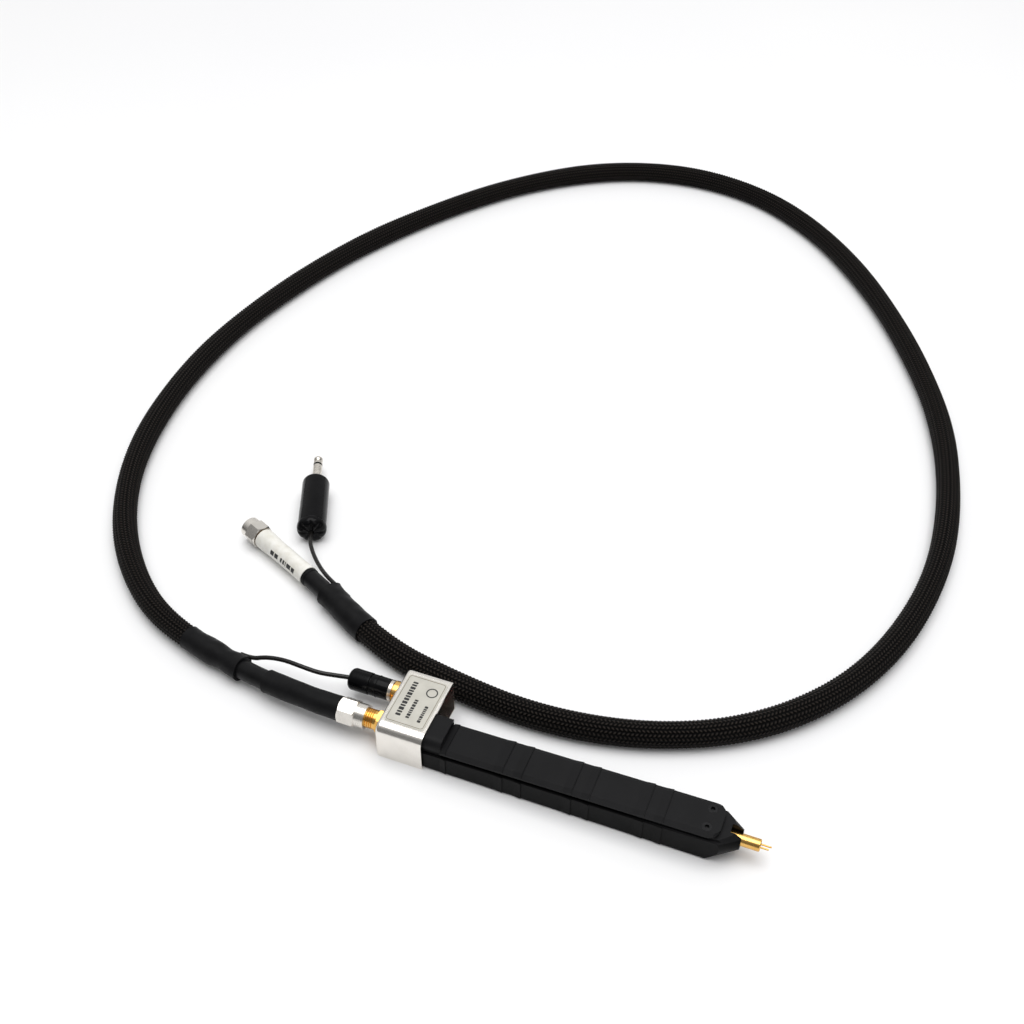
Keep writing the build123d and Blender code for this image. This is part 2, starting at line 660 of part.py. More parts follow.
def control_jack_pin():
    start = REAR_X - CONTROL_JACK_REACH + CONTROL_PIN_RECESS
    return rod(start, CONTROL_PIN_END, CONTROL_PIN_RADIUS, CONTROL_Y, CONTROL_Z)


def tip_barrel():
    barrel = rod(COLLAR_FRONT, BARREL_FRONT, BARREL_RADIUS)
    front_edge = barrel.edges().group_by(Axis.X)[-1]
    barrel = chamfer(front_edge, BARREL_CHAMFER)
    barrel += rod(COLLAR_REAR, COLLAR_FRONT, COLLAR_RADIUS)
    barrel += rod(SHANK_REAR, COLLAR_REAR, SHANK_RADIUS)
    barrel -= rod(SHANK_REAR, SHANK_BORE_END, SHANK_BORE_RADIUS)
    barrel -= rod(SHANK_BORE_END, SIGNAL_SOCKET_END, SIGNAL_SOCKET_BORE_RADIUS)
    barrel -= rod(SIGNAL_SOCKET_END, BARREL_FRONT, INSULATOR_RADIUS, AXIS_Y + SIGNAL_PIN_OFFSET)
    ground_y = AXIS_Y - GROUND_PIN_OFFSET
    return barrel - rod(GROUND_BORE_REAR, BARREL_FRONT, GROUND_PIN_RADIUS + RUNNING_CLEARANCE, ground_y)


def tip_insulator():
    pin_y = AXIS_Y + SIGNAL_PIN_OFFSET
    return ring(SIGNAL_SOCKET_END, BARREL_FRONT - 0.2, INSULATOR_RADIUS, SIGNAL_PIN_RADIUS, pin_y)


def signal_pin():
    pin = rod(SIGNAL_SOCKET_END, PIN_END, SIGNAL_PIN_RADIUS, AXIS_Y + SIGNAL_PIN_OFFSET)
    pin = chamfer(pin.edges().group_by(Axis.X)[-1], PIN_CHAMFER)
    pin += rod(SIGNAL_PIN_REAR, SIGNAL_SOCKET_END, SIGNAL_SOCKET_RADIUS)
    return pin - rod(SIGNAL_PIN_REAR, SIGNAL_SOCKET_END, LINE_CORE_RADIUS + RUNNING_CLEARANCE)


def ground_pin():
    pin = rod(GROUND_PIN_REAR, GROUND_PIN_END, GROUND_PIN_RADIUS, AXIS_Y - GROUND_PIN_OFFSET)
    return chamfer(pin.edges().group_by(Axis.X)[-1], PIN_CHAMFER)


def ground_pin_spring():
    mean = GROUND_SPRING_MEAN_RADIUS
    wire = GROUND_SPRING_WIRE_RADIUS
    y = AXIS_Y - GROUND_PIN_OFFSET
    return coil_spring(GROUND_BORE_REAR, GROUND_PIN_REAR, mean, wire, GROUND_SPRING_TURNS, y)


def switch_pusher():
    """A ring behind the tip's collar with a thin arm that reaches back to the switch."""
    pusher = ring(SPRING_FRONT, COLLAR_REAR, COLLAR_RADIUS, SHANK_RADIUS)
    lug = block(SPRING_FRONT, COLLAR_REAR, LUG_NEAR, ARM_FAR, LUG_BOTTOM, ARM_TOP)
    arm = block(PUSHER_REAR, SPRING_FRONT, ARM_NEAR, ARM_FAR, ARM_BOTTOM, ARM_TOP)
    return pusher + lug + arm


def micro_switch():
    switch = block(SWITCH_REAR, SWITCH_FRONT, SWITCH_NEAR, SWITCH_FAR, POCKET_FLOOR, SWITCH_TOP)
    switch = chamfer(switch.edges().filter_by(Axis.X), 0.2)
    bore_end = SWITCH_FRONT - BUTTON_BORE_DEPTH
    return switch - rod(bore_end, SWITCH_FRONT, BUTTON_RADIUS + RUNNING_CLEARANCE, BUTTON_Y, BUTTON_Z)


def switch_button():
    button = rod(BUTTON_FRONT - BUTTON_LENGTH, BUTTON_FRONT, BUTTON_RADIUS, BUTTON_Y, BUTTON_Z)
    return chamfer(button.edges().group_by(Axis.X)[-1], 0.1)


def switch_terminals():
    rear = SWITCH_REAR - TERMINAL_LENGTH
    return [rod(rear, SWITCH_REAR, TERMINAL_RADIUS, WIRE_Y, z) for z, _, _ in WIRE_ENDS]


def switch_wires():
    """Two insulated wires from the switch back through the tang to the control jack."""
    wires = []
    for z, y, end in WIRE_ENDS:
        path = FilletPolyline(
            (SWITCH_REAR - TERMINAL_LENGTH, WIRE_Y, z),
            (WIRE_CORNER, WIRE_Y, z),
            (WIRE_CORNER, y, z),
            (end, y, z),
            radius=WIRE_BEND,
        )
        start = Plane(origin=path @ 0, z_dir=path % 0)
        wires.append(sweep(start * Circle(WIRE_RADIUS), path=path))
    return wires


def coupling_nut(base, lengths, y, z):
    """Hexagon behind and round collar in front, of the two given lengths."""
    collar = base + lengths[0]
    front = base + sum(lengths)
    nut = hexagon_bar(base, collar, HEX_ACROSS_FLATS, HEX_TURN, y, z)
    nut += rod(collar, front, NUT_COLLAR_RADIUS, y, z)
    nut -= rod(base, base + NUT_WALL, PLUG_BODY_RADIUS + RUNNING_CLEARANCE, y, z)
    return nut - rod(base + NUT_WALL, front, NUT_BORE_RADIUS, y, z)


def plug_body(base, y, z):
    """The plug's own barrel: a shoulder inside the nut and a ferrule that grips the cable."""
    tail = base - PLUG_TAIL
    face = base + PLUG_FACE
    shoulder = base + NUT_WALL + 0.1
    body = rod(tail, shoulder, PLUG_BODY_RADIUS, y, z)
    body += rod(shoulder, face, PLUG_SHOULDER_RADIUS, y, z)
    body += rod(face, face + JACK_MOUTH_DEPTH - PLUG_GAP, JACK_MOUTH_RADIUS - RUNNING_CLEARANCE, y, z)
    return body - rod(tail, face + JACK_MOUTH_DEPTH, JACK_BORE_RADIUS, y, z)


def plug_insulator(base, y, z):
    return ring(base - PLUG_TAIL, base + PLUG_FACE, JACK_BORE_RADIUS, PLUG_PIN_RADIUS, y, z)


def plug_pin(base, lengths, y, z):
    pin = rod(base - PLUG_TAIL, base + sum(lengths) - PLUG_GAP, PLUG_PIN_RADIUS, y, z)
    return chamfer(pin.edges().group_by(Axis.X)[-1], PLUG_PIN_CHAMFER)


def at_far_plug(shape):
    return Pos(*FAR_PLUG_BASE) * Rot(0, 0, FAR_PLUG_ANGLE) * Pos(PLUG_TAIL, 0, 0) * shape


def at_phone_plug(shape):
    return Pos(*PHONE_BASE) * Rot(0, 0, PHONE_ANGLE) * shape


def phone_cap():
    cap = rod(0, PHONE_CAP_LENGTH, PHONE_CAP_RADIUS, 0, 0)
    return fillet(cap.edges().group_by(Axis.X)[0], PHONE_CAP_ROUND)


def phone_barrel():
    barrel = rod(PHONE_CAP_LENGTH, PHONE_BARREL_END, PHONE_BARREL_RADIUS, 0, 0)
    return fillet(barrel.edges().group_by(Axis.X)[-1], PHONE_BARREL_ROUND)


def phone_sleeve():
    return rod(PHONE_BARREL_END, PHONE_SLEEVE_END, PHONE_PIN_RADIUS, 0, 0)


def phone_ring():
    return rod(PHONE_SLEEVE_END, PHONE_RING_END, PHONE_PIN_RADIUS, 0, 0)


def phone_tip():
    """The waisted contact at the end of the phone plug."""
    outline = Polyline(
        (PHONE_RING_END, 0),
        (PHONE_RING_END, PHONE_PIN_RADIUS),
        (PHONE_NECK_START, PHONE_PIN_RADIUS),
        (PHONE_WAIST, PHONE_WAIST_RADIUS),
        (PHONE_BULB_START, PHONE_PIN_RADIUS),
        (PHONE_BULB_END, PHONE_PIN_RADIUS),
        (PHONE_TIP_END, PHONE_END_RADIUS),
        (PHONE_TIP_END, 0),
        close=True,
    )
    return revolve(Plane.XY * make_face(outline), Axis.X)


def control_plug_boot():
    boot = rod(BOOT_REAR, BOOT_STEP, BOOT_RADIUS, CONTROL_Y, CONTROL_Z)
    boot = fillet(boot.edges().group_by(Axis.X)[0], BOOT_ROUND)
    boot += rod(BOOT_STEP, BOOT_FRONT, BOOT_FRONT_RADIUS, CONTROL_Y, CONTROL_Z)
    return boot - rod(SHELL_REAR, BOOT_FRONT, SHELL_RADIUS, CONTROL_Y, CONTROL_Z)


def control_plug_shell():
    """A thin sleeve over the jack, with a rim in front of the boot."""
    shell = rod(SHELL_REAR, BOOT_FRONT, SHELL_RADIUS, CONTROL_Y, CONTROL_Z)
    shell += rod(BOOT_FRONT, SHELL_FRONT, BOOT_FRONT_RADIUS, CONTROL_Y, CONTROL_Z)
    return shell - rod(SHELL_REAR, SHELL_FRONT, CONTROL_JACK_RADIUS, CONTROL_Y, CONTROL_Z)


def build_probe():
    PARTS["handle_body"] = handle_body()
    PARTS["handle_cover"] = handle_cover()
    PARTS["front_screws"] = socket_screws(front_screw_places(), front_screw_top(), SCREW_LENGTH, False)
    PARTS["connector_housing"] = connector_housing()
    PARTS["base_plate"] = base_plate()
    PARTS["base_screws"] = socket_screws(BASE_SCREWS, 0, BASE_SCREW_LENGTH, True)
    PARTS["label_plate"] = label_plate()
    PARTS["rf_jack"] = rf_jack()
    PARTS["rf_jack_nut"] = rf_jack_nut()
    PARTS["rf_jack_insulator"] = rf_jack_insulator()
    PARTS["rf_jack_contact"] = rf_jack_contact()
    PARTS["line_conductor"] = line_conductor()
    PARTS["signal_line"] = signal_line(PARTS["line_conductor"])
    PARTS["control_jack"] = control_jack()
    PARTS["control_jack_nut"] = control_jack_nut()
    PARTS["control_jack_insulator"] = control_jack_insulator()
    PARTS["control_jack_pin"] = control_jack_pin()
    PARTS["micro_switch"] = micro_switch()
    PARTS["switch_button"] = switch_button()
    PARTS["switch_terminals"] = switch_terminals()
    PARTS["switch_wires"] = switch_wires()
    PARTS["tip_barrel"] = tip_barrel()
    PARTS["tip_insulator"] = tip_insulator()
    PARTS["signal_pin"] = signal_pin()
    PARTS["ground_pin"] = ground_pin()
    PARTS["ground_pin_spring"] = ground_pin_spring()
    PARTS["switch_pusher"] = switch_pusher()
    PARTS["tip_spring"] = coil_spring(
        SPRING_REAR, SPRING_FRONT, SPRING_MEAN_RADIUS, SPRING_WIRE_RADIUS, SPRING_TURNS
    )


def build_cable():
    PARTS["near_coupling_nut"] = coupling_nut(NEAR_PLUG_BASE, NEAR_NUT_LENGTHS, AXIS_Y, RF_Z)
    PARTS["near_plug_body"] = plug_body(NEAR_PLUG_BASE, AXIS_Y, RF_Z)
    PARTS["near_plug_insulator"] = plug_insulator(NEAR_PLUG_BASE, AXIS_Y, RF_Z)
    PARTS["near_plug_pin"] = plug_pin(NEAR_PLUG_BASE, NEAR_NUT_LENGTHS, AXIS_Y, RF_Z)
    PARTS["control_plug_boot"] = control_plug_boot()
    PARTS["control_plug_shell"] = control_plug_shell()
    near_coax = tube("near_coax", NEAR_COAX_ROUTE, COAX_RADIUS)
    braid = tube("braided_sleeve", BRAID_ROUTE, BRAID_RADIUS)
    far_coax = tube("far_coax", FAR_COAX_ROUTE, COAX_RADIUS)
    PARTS["near_coax"] = near_coax
    PARTS["braided_sleeve"] = braid
    PARTS["far_coax"] = far_coax
    near_lead = tube("near_lead", NEAR_LEAD_ROUTE, LEAD_RADIUS)
    far_lead = tube("far_lead", FAR_LEAD_ROUTE, LEAD_RADIUS)
    PARTS["near_lead"] = near_lead
    PARTS["far_lead"] = far_lead
    route = [(NEAR_PLUG_BASE - PLUG_GAP, AXIS_Y, RF_Z)] + NEAR_COAX_ROUTE[1:]
    shrink = tube("heat_shrink_1", route, HEAT_SHRINK_1_RADIUS)
    shrink = shrink & block(HEAT_SHRINK_1_REAR, NEAR_PLUG_BASE, -20, 20, 0, 20)
    tail_room = rod(NEAR_PLUG_BASE - PLUG_TAIL - 0.1, NEAR_PLUG_BASE, PLUG_BODY_RADIUS, AXIS_Y, RF_Z)
    PARTS["heat_shrink_1"] = shrink - near_coax - tail_room
    shrink = rod_between(HEAT_SHRINK_2_ENDS, HEAT_SHRINK_2_RADIUS)
    PARTS["heat_shrink_2"] = shrink - near_coax - braid - near_lead
    shrink = rod_between(HEAT_SHRINK_3_ENDS, HEAT_SHRINK_3_RADIUS)
    PARTS["heat_shrink_3"] = shrink - far_coax - braid - far_lead
    tail_room = at_far_plug(rod(-PLUG_TAIL, PLUG_FACE, PLUG_BODY_RADIUS, 0, 0))
    PARTS["marker_sleeve"] = rod_between(MARKER_ENDS, MARKER_RADIUS) - far_coax - tail_room
    collar = rod_between(MARKER_COLLAR_ENDS, MARKER_COLLAR_RADIUS) - far_coax
    PARTS["marker_collar"] = collar - PARTS["marker_sleeve"]
    PARTS["far_coupling_nut"] = at_far_plug(coupling_nut(0, FAR_NUT_LENGTHS, 0, 0))
    PARTS["far_plug_body"] = at_far_plug(plug_body(0, 0, 0))
    PARTS["far_plug_insulator"] = at_far_plug(plug_insulator(0, 0, 0))
    PARTS["far_plug_pin"] = at_far_plug(plug_pin(0, FAR_NUT_LENGTHS, 0, 0))
    PARTS["phone_plug_cap"] = at_phone_plug(phone_cap())
    PARTS["phone_plug_barrel"] = at_phone_plug(phone_barrel())
    PARTS["phone_plug_sleeve"] = at_phone_plug(phone_sleeve())
    PARTS["phone_plug_ring"] = at_phone_plug(phone_ring())
    PARTS["phone_plug_tip"] = at_phone_plug(phone_tip())


def write_parts():
    os.makedirs("parts", exist_ok=True)
    for name, shape in PARTS.items():
        if isinstance(shape, list):
            shape = Compound(children=shape)
        export_step(shape, f"parts/{name}.step")


build_probe()
build_cable()
write_parts()
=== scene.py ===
import json
import random
from math import cos, pi, radians, sin, tau

import bpy
import numpy as np
from mathutils import Matrix, Vector


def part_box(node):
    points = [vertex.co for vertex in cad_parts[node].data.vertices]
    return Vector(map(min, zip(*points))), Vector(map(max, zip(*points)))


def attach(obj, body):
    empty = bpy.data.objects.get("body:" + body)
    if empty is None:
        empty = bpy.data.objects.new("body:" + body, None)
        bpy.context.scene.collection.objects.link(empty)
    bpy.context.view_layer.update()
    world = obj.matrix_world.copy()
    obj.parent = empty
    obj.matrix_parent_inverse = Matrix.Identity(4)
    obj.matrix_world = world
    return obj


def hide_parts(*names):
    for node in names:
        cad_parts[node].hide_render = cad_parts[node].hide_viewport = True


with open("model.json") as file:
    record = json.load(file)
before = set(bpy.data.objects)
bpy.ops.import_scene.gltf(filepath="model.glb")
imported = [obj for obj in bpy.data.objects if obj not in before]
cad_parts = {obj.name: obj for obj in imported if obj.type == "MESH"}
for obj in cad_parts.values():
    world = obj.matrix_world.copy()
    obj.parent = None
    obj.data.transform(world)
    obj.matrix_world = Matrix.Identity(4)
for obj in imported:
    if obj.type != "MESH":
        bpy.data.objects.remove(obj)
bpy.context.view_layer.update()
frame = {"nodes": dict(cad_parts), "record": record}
NODES = frame["nodes"]
MM = 0.001

# ---------------------------------------------------------------- camera, floor and light

CAMERA_PLACE = (0.0774, -0.2362, 0.3358)
CAMERA_HEADING = (-0.367, 0.930)
CAMERA_PITCH = 42.23
CAMERA_LENS = 46.58
SENSOR_WIDTH = 36.0
NEAR_CLIP = 0.01
SKY_RISE = 1.15
SKY_LEVELS = [(0.0, 0.2), (0.12, 0.22), (0.45, 0.5), (0.75, 0.74), (1.0, 0.8)]
FLOOR_HALF = 8.0


def add_camera():
    data = bpy.data.cameras.new("camera")
    data.lens = CAMERA_LENS
    data.sensor_width = SENSOR_WIDTH
    data.clip_start = NEAR_CLIP
    camera = bpy.data.objects.new("camera", data)
    level = Vector((*CAMERA_HEADING, 0.0)).normalized() * cos(radians(CAMERA_PITCH))
    look = level - Vector((0.0, 0.0, sin(radians(CAMERA_PITCH))))
    camera.rotation_euler = look.to_track_quat("-Z", "Y").to_euler()
    camera.location = CAMERA_PLACE
    bpy.context.scene.collection.objects.link(camera)
    bpy.context.scene.camera = camera


def add_area_light(name, place, target, side, power):
    data = bpy.data.lights.new(name, "AREA")
    data.shape = "RECTANGLE"
    data.size, data.size_y = side, side
    data.energy = power
    light = bpy.data.objects.new(name, data)
    light.location = place
    light.rotation_euler = (Vector(target) - Vector(place)).to_track_quat("-Z", "Y").to_euler()
    bpy.context.scene.collection.objects.link(light)


def add_world():
    """Bright behind the object and overhead, and dark behind the camera."""
    world = bpy.data.worlds.new("studio")
    world.use_nodes = True
    tree = world.node_tree
    background = tree.nodes["Background"]
    place = tree.nodes.new("ShaderNodeTexCoord")
    facing = tree.nodes.new("ShaderNodeVectorMath")
    facing.operation = "DOT_PRODUCT"
    facing.inputs[1].default_value = Vector((*CAMERA_HEADING, SKY_RISE)).normalized()
    ramp = tree.nodes.new("ShaderNodeValToRGB")
    elements = ramp.color_ramp.elements
    greys = [(position, (level, level, level, 1.0)) for position, level in SKY_LEVELS]
    elements[0].color = greys[0][1]
    elements[1].color = greys[-1][1]
    for position, grey in greys[1:-1]:
        elements.new(position).color = grey
    tree.links.new(place.outputs["Generated"], facing.inputs[0])
    tree.links.new(facing.outputs["Value"], ramp.inputs[0])
    tree.links.new(ramp.outputs[0], background.inputs["Color"])
    background.inputs["Strength"].default_value = 1.0
    bpy.context.scene.world = world
    bpy.context.scene.view_settings.view_transform = "Standard"


def add_floor():
    mesh = bpy.data.meshes.new("floor")
    corners = [(x * FLOOR_HALF, y * FLOOR_HALF, 0) for x, y in ((-1, -1), (1, -1), (1, 1), (-1, 1))]
    mesh.from_pydata(corners, [], [(0, 1, 2, 3)])
    floor = bpy.data.objects.new("floor", mesh)
    bpy.context.scene.collection.objects.link(floor)
    floor.data.materials.append(floor_material())


# ---------------------------------------------------------------- materials

NOISE_ROUGHNESS = 0.55
MIX_COLOUR_INPUTS = (0, 6, 7)
MIX_COLOUR_OUTPUT = 2
RAMP_PER_METRE = 100.0
# Painted shade: below the shell split the handle's colour is darkened by the factor below, standing in for
# the shade on its sides.
SHELL_SPLIT_START = 8.8 * MM
SHELL_SPLIT_END = 9.0 * MM
LOWER_SHELL_PAINTED_SHADE = 0.22
PRINT_CELLS_PER_MM = 2.1
PRINT_GAP_SHARE = 0.3
PRINT_SPAN = (4.0, 19.0)
PRINT_BAND = (0.395, 0.475)
PRINT_INK = (0.02, 0.02, 0.02, 1.0)
STRAND_SLANT = 0.65
FILAMENTS = 4
FILAMENT_HEIGHT = 0.06


class Surface:
    """A Principled material and short calls for the nodes that feed it."""

    def __init__(self, name, **values):
        self.material = bpy.data.materials.new(name)
        self.material.use_nodes = True
        self.tree = self.material.node_tree
        self.shader = self.tree.nodes["Principled BSDF"]
        for socket, value in values.items():
            self.shader.inputs[socket.replace("_", " ")].default_value = value
        self.place = self.node("ShaderNodeTexCoord").outputs["Object"]

    def node(self, kind, **settings):
        made = self.tree.nodes.new(kind)
        for key, value in settings.items():
            setattr(made, key, value)
        return made

    def link(self, source, target):
        self.tree.links.new(source, target)

    def feed(self, socket, value):
        """Sets a socket to a plain value, or links it to another node's output."""
        if isinstance(value, (int, float, tuple)):
            socket.default_value = value
        else:
            self.link(value, socket)

    def math(self, operation, *values):
        made = self.node("ShaderNodeMath", operation=operation)
        for socket, value in zip(made.inputs, values):
            self.feed(socket, value)
        return made.outputs[0]

    def mix(self, share, first, second, blend="MIX"):
        """Two colours blended by a share from 0 to 1."""
        made = self.node("ShaderNodeMix", data_type="RGBA", blend_type=blend)
        for index, value in zip(MIX_COLOUR_INPUTS, (share, first, second)):
            self.feed(made.inputs[index], value)
        return made.outputs[MIX_COLOUR_OUTPUT]

    def axes(self, vector):
        """The three parts of a vector, each on its own output."""
        split = self.node("ShaderNodeSeparateXYZ")
        self.link(vector, split.inputs[0])
        return split.outputs

    def along_and_around(self):
        """A tube's own map: the length along it and the share or count around it."""
        return self.axes(self.node("ShaderNodeUVMap", uv_map="along").outputs[0])[:2]

    def stretched(self, scale):
        """The object's own place, scaled along each axis."""
        mapping = self.node("ShaderNodeMapping")
        mapping.inputs["Scale"].default_value = scale
        self.link(self.place, mapping.inputs["Vector"])
        return mapping.outputs[0]

    def noise(self, scale, detail=3.0, place=None):
        made = self.node("ShaderNodeTexNoise")
        made.inputs["Scale"].default_value = scale
        made.inputs["Detail"].default_value = detail
        made.inputs["Roughness"].default_value = NOISE_ROUGHNESS
        self.link(place or self.place, made.inputs["Vector"])
        return made.outputs["Fac"]

    def ramp(self, value, low, high, start=0.3, end=0.7):
        """low below start and high above end, for a number or a colour."""
        made = self.node("ShaderNodeValToRGB")
        colours = [c if isinstance(c, tuple) else (c, c, c) for c in (low, high)]
        for element, position, colour in zip(made.color_ramp.elements, (start, end), colours):
            element.position = position
            element.color = (*colour, 1.0)
        self.link(value, made.inputs[0])
        return made.outputs[0]

    def colour(self, source):
        self.link(source, self.shader.inputs["Base Color"])

    def roughness(self, source):
        self.link(source, self.shader.inputs["Roughness"])

    def bump(self, height, distance, strength=1.0, below=None):
        made = self.node("ShaderNodeBump")
        made.inputs["Distance"].default_value = distance
        made.inputs["Strength"].default_value = strength
        self.link(height, made.inputs["Height"])
        if below is not None:
            self.link(below, made.inputs["Normal"])
        self.link(made.outputs[0], self.shader.inputs["Normal"])
        return made.outputs[0]


def speckled(name, tint, gloss, grain=None, **values):
    """A material that varies finely in colour and gloss, with a fine grain if it has one.

    tint, gloss and grain each start with a noise's scale and detail. Then come tint's and
    gloss's low and high ends, and grain's distance and strength.
    """
    surface = Surface(name, **values)
    surface.colour(surface.ramp(surface.noise(*tint[:2]), *tint[2:]))
    surface.roughness(surface.ramp(surface.noise(*gloss[:2]), *gloss[2:]))
    if grain:
        surface.bump(surface.noise(*grain[:2]), *grain[2:])
    return surface.material


def floor_material():
    surface = Surface("floor_paper", Roughness=0.65)
    surface.colour(surface.ramp(surface.noise(3.0, 2.0), (0.86, 0.86, 0.87), (0.89, 0.89, 0.89)))
    surface.bump(surface.noise(1500.0, 2.0), 0.00002, 0.3)
    return surface.material


def handle_plastic():
    """Satin black moulded plastic with a fine spark texture. Below the shell split the colour is darkened as
    painted shade on the sides.
    """
    surface = Surface("handle_plastic", Specular_IOR_Level=0.07)
    shade = surface.ramp(surface.noise(60.0, 4.0), (0.0088, 0.0088, 0.0093), (0.012, 0.012, 0.0127))
    height = surface.math("MULTIPLY", surface.axes(surface.place)[2], RAMP_PER_METRE)
    ends = (SHELL_SPLIT_START * RAMP_PER_METRE, SHELL_SPLIT_END * RAMP_PER_METRE)
    # Painted shade: the colour is multiplied darker below the shell split.
    painted_shade = surface.ramp(height, LOWER_SHELL_PAINTED_SHADE, 1.0, *ends)
    surface.colour(surface.mix(1.0, shade, painted_shade, "MULTIPLY"))
    surface.roughness(surface.ramp(surface.noise(180.0, 5.0), 0.33, 0.46))
    surface.bump(surface.noise(5200.0, 2.0), 0.00003, 0.35)
    return surface.material


def plated_metal(name, colour, shade, rough, grain, distance):
    """Plated metal with a faint drawn grain, cloudy gloss and small scratches."""
    surface = Surface(name, Metallic=1.0)
    surface.colour(surface.ramp(surface.noise(160.0, 3.0), shade, colour, 0.25, 0.6))
    lines = surface.noise(1.0, 3.0, surface.stretched(grain))
    cloud = surface.noise(140.0, 4.0)
    mixed = surface.math("MULTIPLY_ADD", lines, 0.5, surface.math("MULTIPLY", cloud, 0.5))
    surface.roughness(surface.ramp(mixed, *rough))
    surface.bump(lines, distance, 0.4)
    return surface.material


def black_screw():
    return speckled(
        "black_oxide",
        tint=(900.0, 3.0, (0.004, 0.004, 0.0045), (0.011, 0.011, 0.012)),
        gloss=(1200.0, 3.0, 0.28, 0.45),
        grain=(3000.0, 2.0, 0.00002, 0.3),
        Metallic=0.7,
    )


def foil_label():
    """The printed foil's own ground: pale satin metal."""
    surface = Surface("label_foil", Metallic=0.55)
    surface.colour(surface.ramp(surface.noise(220.0, 4.0), (0.46, 0.445, 0.40), (0.52, 0.505, 0.455)))
    lines = surface.noise(1.0, 3.0, surface.stretched((900.0, 6500.0, 900.0)))
    surface.roughness(surface.ramp(lines, 0.42, 0.55))
    surface.bump(lines, 0.00001, 0.4)
    return surface.material


def label_ink():
    return speckled(
        "label_ink",
        tint=(2600.0, 3.0, (0.010, 0.010, 0.011), (0.035, 0.034, 0.034)),
        gloss=(1800.0, 2.0, 0.40, 0.55),
        Specular_IOR_Level=0.3,
    )


def label_border_ink():
    return speckled(
        "label_border_ink",
        tint=(1600.0, 3.0, (0.10, 0.075, 0.045), (0.17, 0.13, 0.085)),
        gloss=(1500.0, 2.0, 0.40, 0.55),
        Specular_IOR_Level=0.3,
    )


def ptfe():
    return speckled(
        "ptfe",
        tint=(700.0, 2.0, (0.78, 0.77, 0.73), (0.86, 0.85, 0.82)),
        gloss=(900.0, 2.0, 0.40, 0.52),
        Specular_IOR_Level=0.35,
        Subsurface_Weight=0.1,
        Subsurface_Radius=(0.001, 0.001, 0.001),
    )


def switch_case():
    return speckled(
        "switch_case",
        tint=(900.0, 3.0, (0.02, 0.02, 0.022), (0.035, 0.035, 0.037)),
        gloss=(900.0, 2.0, 0.35, 0.5),
        grain=(4000.0, 2.0, 0.00002, 0.3),
    )


def hook_up_wire():
    return speckled(
        "hook_up_wire",
        tint=(500.0, 2.0, (0.26, 0.015, 0.012), (0.34, 0.025, 0.02)),
        gloss=(800.0, 2.0, 0.28, 0.42),
    )


def shrunk_sleeve():
    """Satin black heat-shrunk polymer: faint length-wise folds and a dusting of scuffs."""
    surface = Surface("heat_shrink", Specular_IOR_Level=0.09)
    surface.colour(surface.ramp(surface.noise(260.0, 5.0), (0.0045, 0.0045, 0.005), (0.008, 0.008, 0.0085)))
    surface.roughness(surface.ramp(surface.noise(420.0, 5.0), 0.38, 0.55))
    soft = surface.bump(surface.noise(420.0, 3.0), 0.0004, 0.16)
    surface.bump(surface.noise(3800.0, 3.0), 0.00003, 0.4, soft)
    return surface.material


def cable_jacket():
    return speckled(
        "cable_jacket",
        tint=(350.0, 4.0, (0.003, 0.003, 0.0035), (0.006, 0.006, 0.0065)),
        gloss=(600.0, 4.0, 0.30, 0.46),
        grain=(900.0, 3.0, 0.00010, 0.25),
        Specular_IOR_Level=0.13,
    )


def lead_jacket():
    return speckled(
        "lead_jacket",
        tint=(500.0, 3.0, (0.004, 0.0035, 0.003), (0.007, 0.006, 0.0055)),
        gloss=(900.0, 3.0, 0.22, 0.36),
        grain=(1400.0, 3.0, 0.00006, 0.25),
        Specular_IOR_Level=0.35,
    )


def glossy_plastic():
    """Polished black moulded plastic with faint handling haze."""
    return speckled(
        "glossy_plastic",
        tint=(200.0, 4.0, (0.0015, 0.0015, 0.002), (0.0035, 0.0035, 0.004)),
        gloss=(420.0, 5.0, 0.14, 0.30),
        grain=(700.0, 3.0, 0.00004, 0.2),
        Specular_IOR_Level=0.06,
        Coat_Weight=0.1,
        Coat_Roughness=0.05,
    )


def marker_white():
    """White marker sleeve with a row of plain printed bars along one side."""
    surface = Surface("marker_white", Specular_IOR_Level=0.4)
    ground = surface.ramp(surface.noise(330.0, 5.0), (0.70, 0.68, 0.61), (0.83, 0.82, 0.78))
    along, around = surface.along_and_around()
    cell = surface.math("FLOOR", surface.math("MULTIPLY", along, PRINT_CELLS_PER_MM))
    pick = surface.node("ShaderNodeTexWhiteNoise", noise_dimensions="1D")
    surface.link(cell, pick.inputs["W"])
    inked = surface.math("GREATER_THAN", pick.outputs["Value"], PRINT_GAP_SHARE)
    for value, (low, high) in ((along, PRINT_SPAN), (around, PRINT_BAND)):
        inked = surface.math("MULTIPLY", inked, surface.math("GREATER_THAN", value, low))
        inked = surface.math("MULTIPLY", inked, surface.math("LESS_THAN", value, high))
    surface.colour(surface.mix(inked, ground, PRINT_INK))
    surface.roughness(surface.ramp(surface.noise(600.0, 3.0), 0.34, 0.5))
    surface.bump(surface.noise(380.0, 3.0), 0.0003, 0.16)
    return surface.material


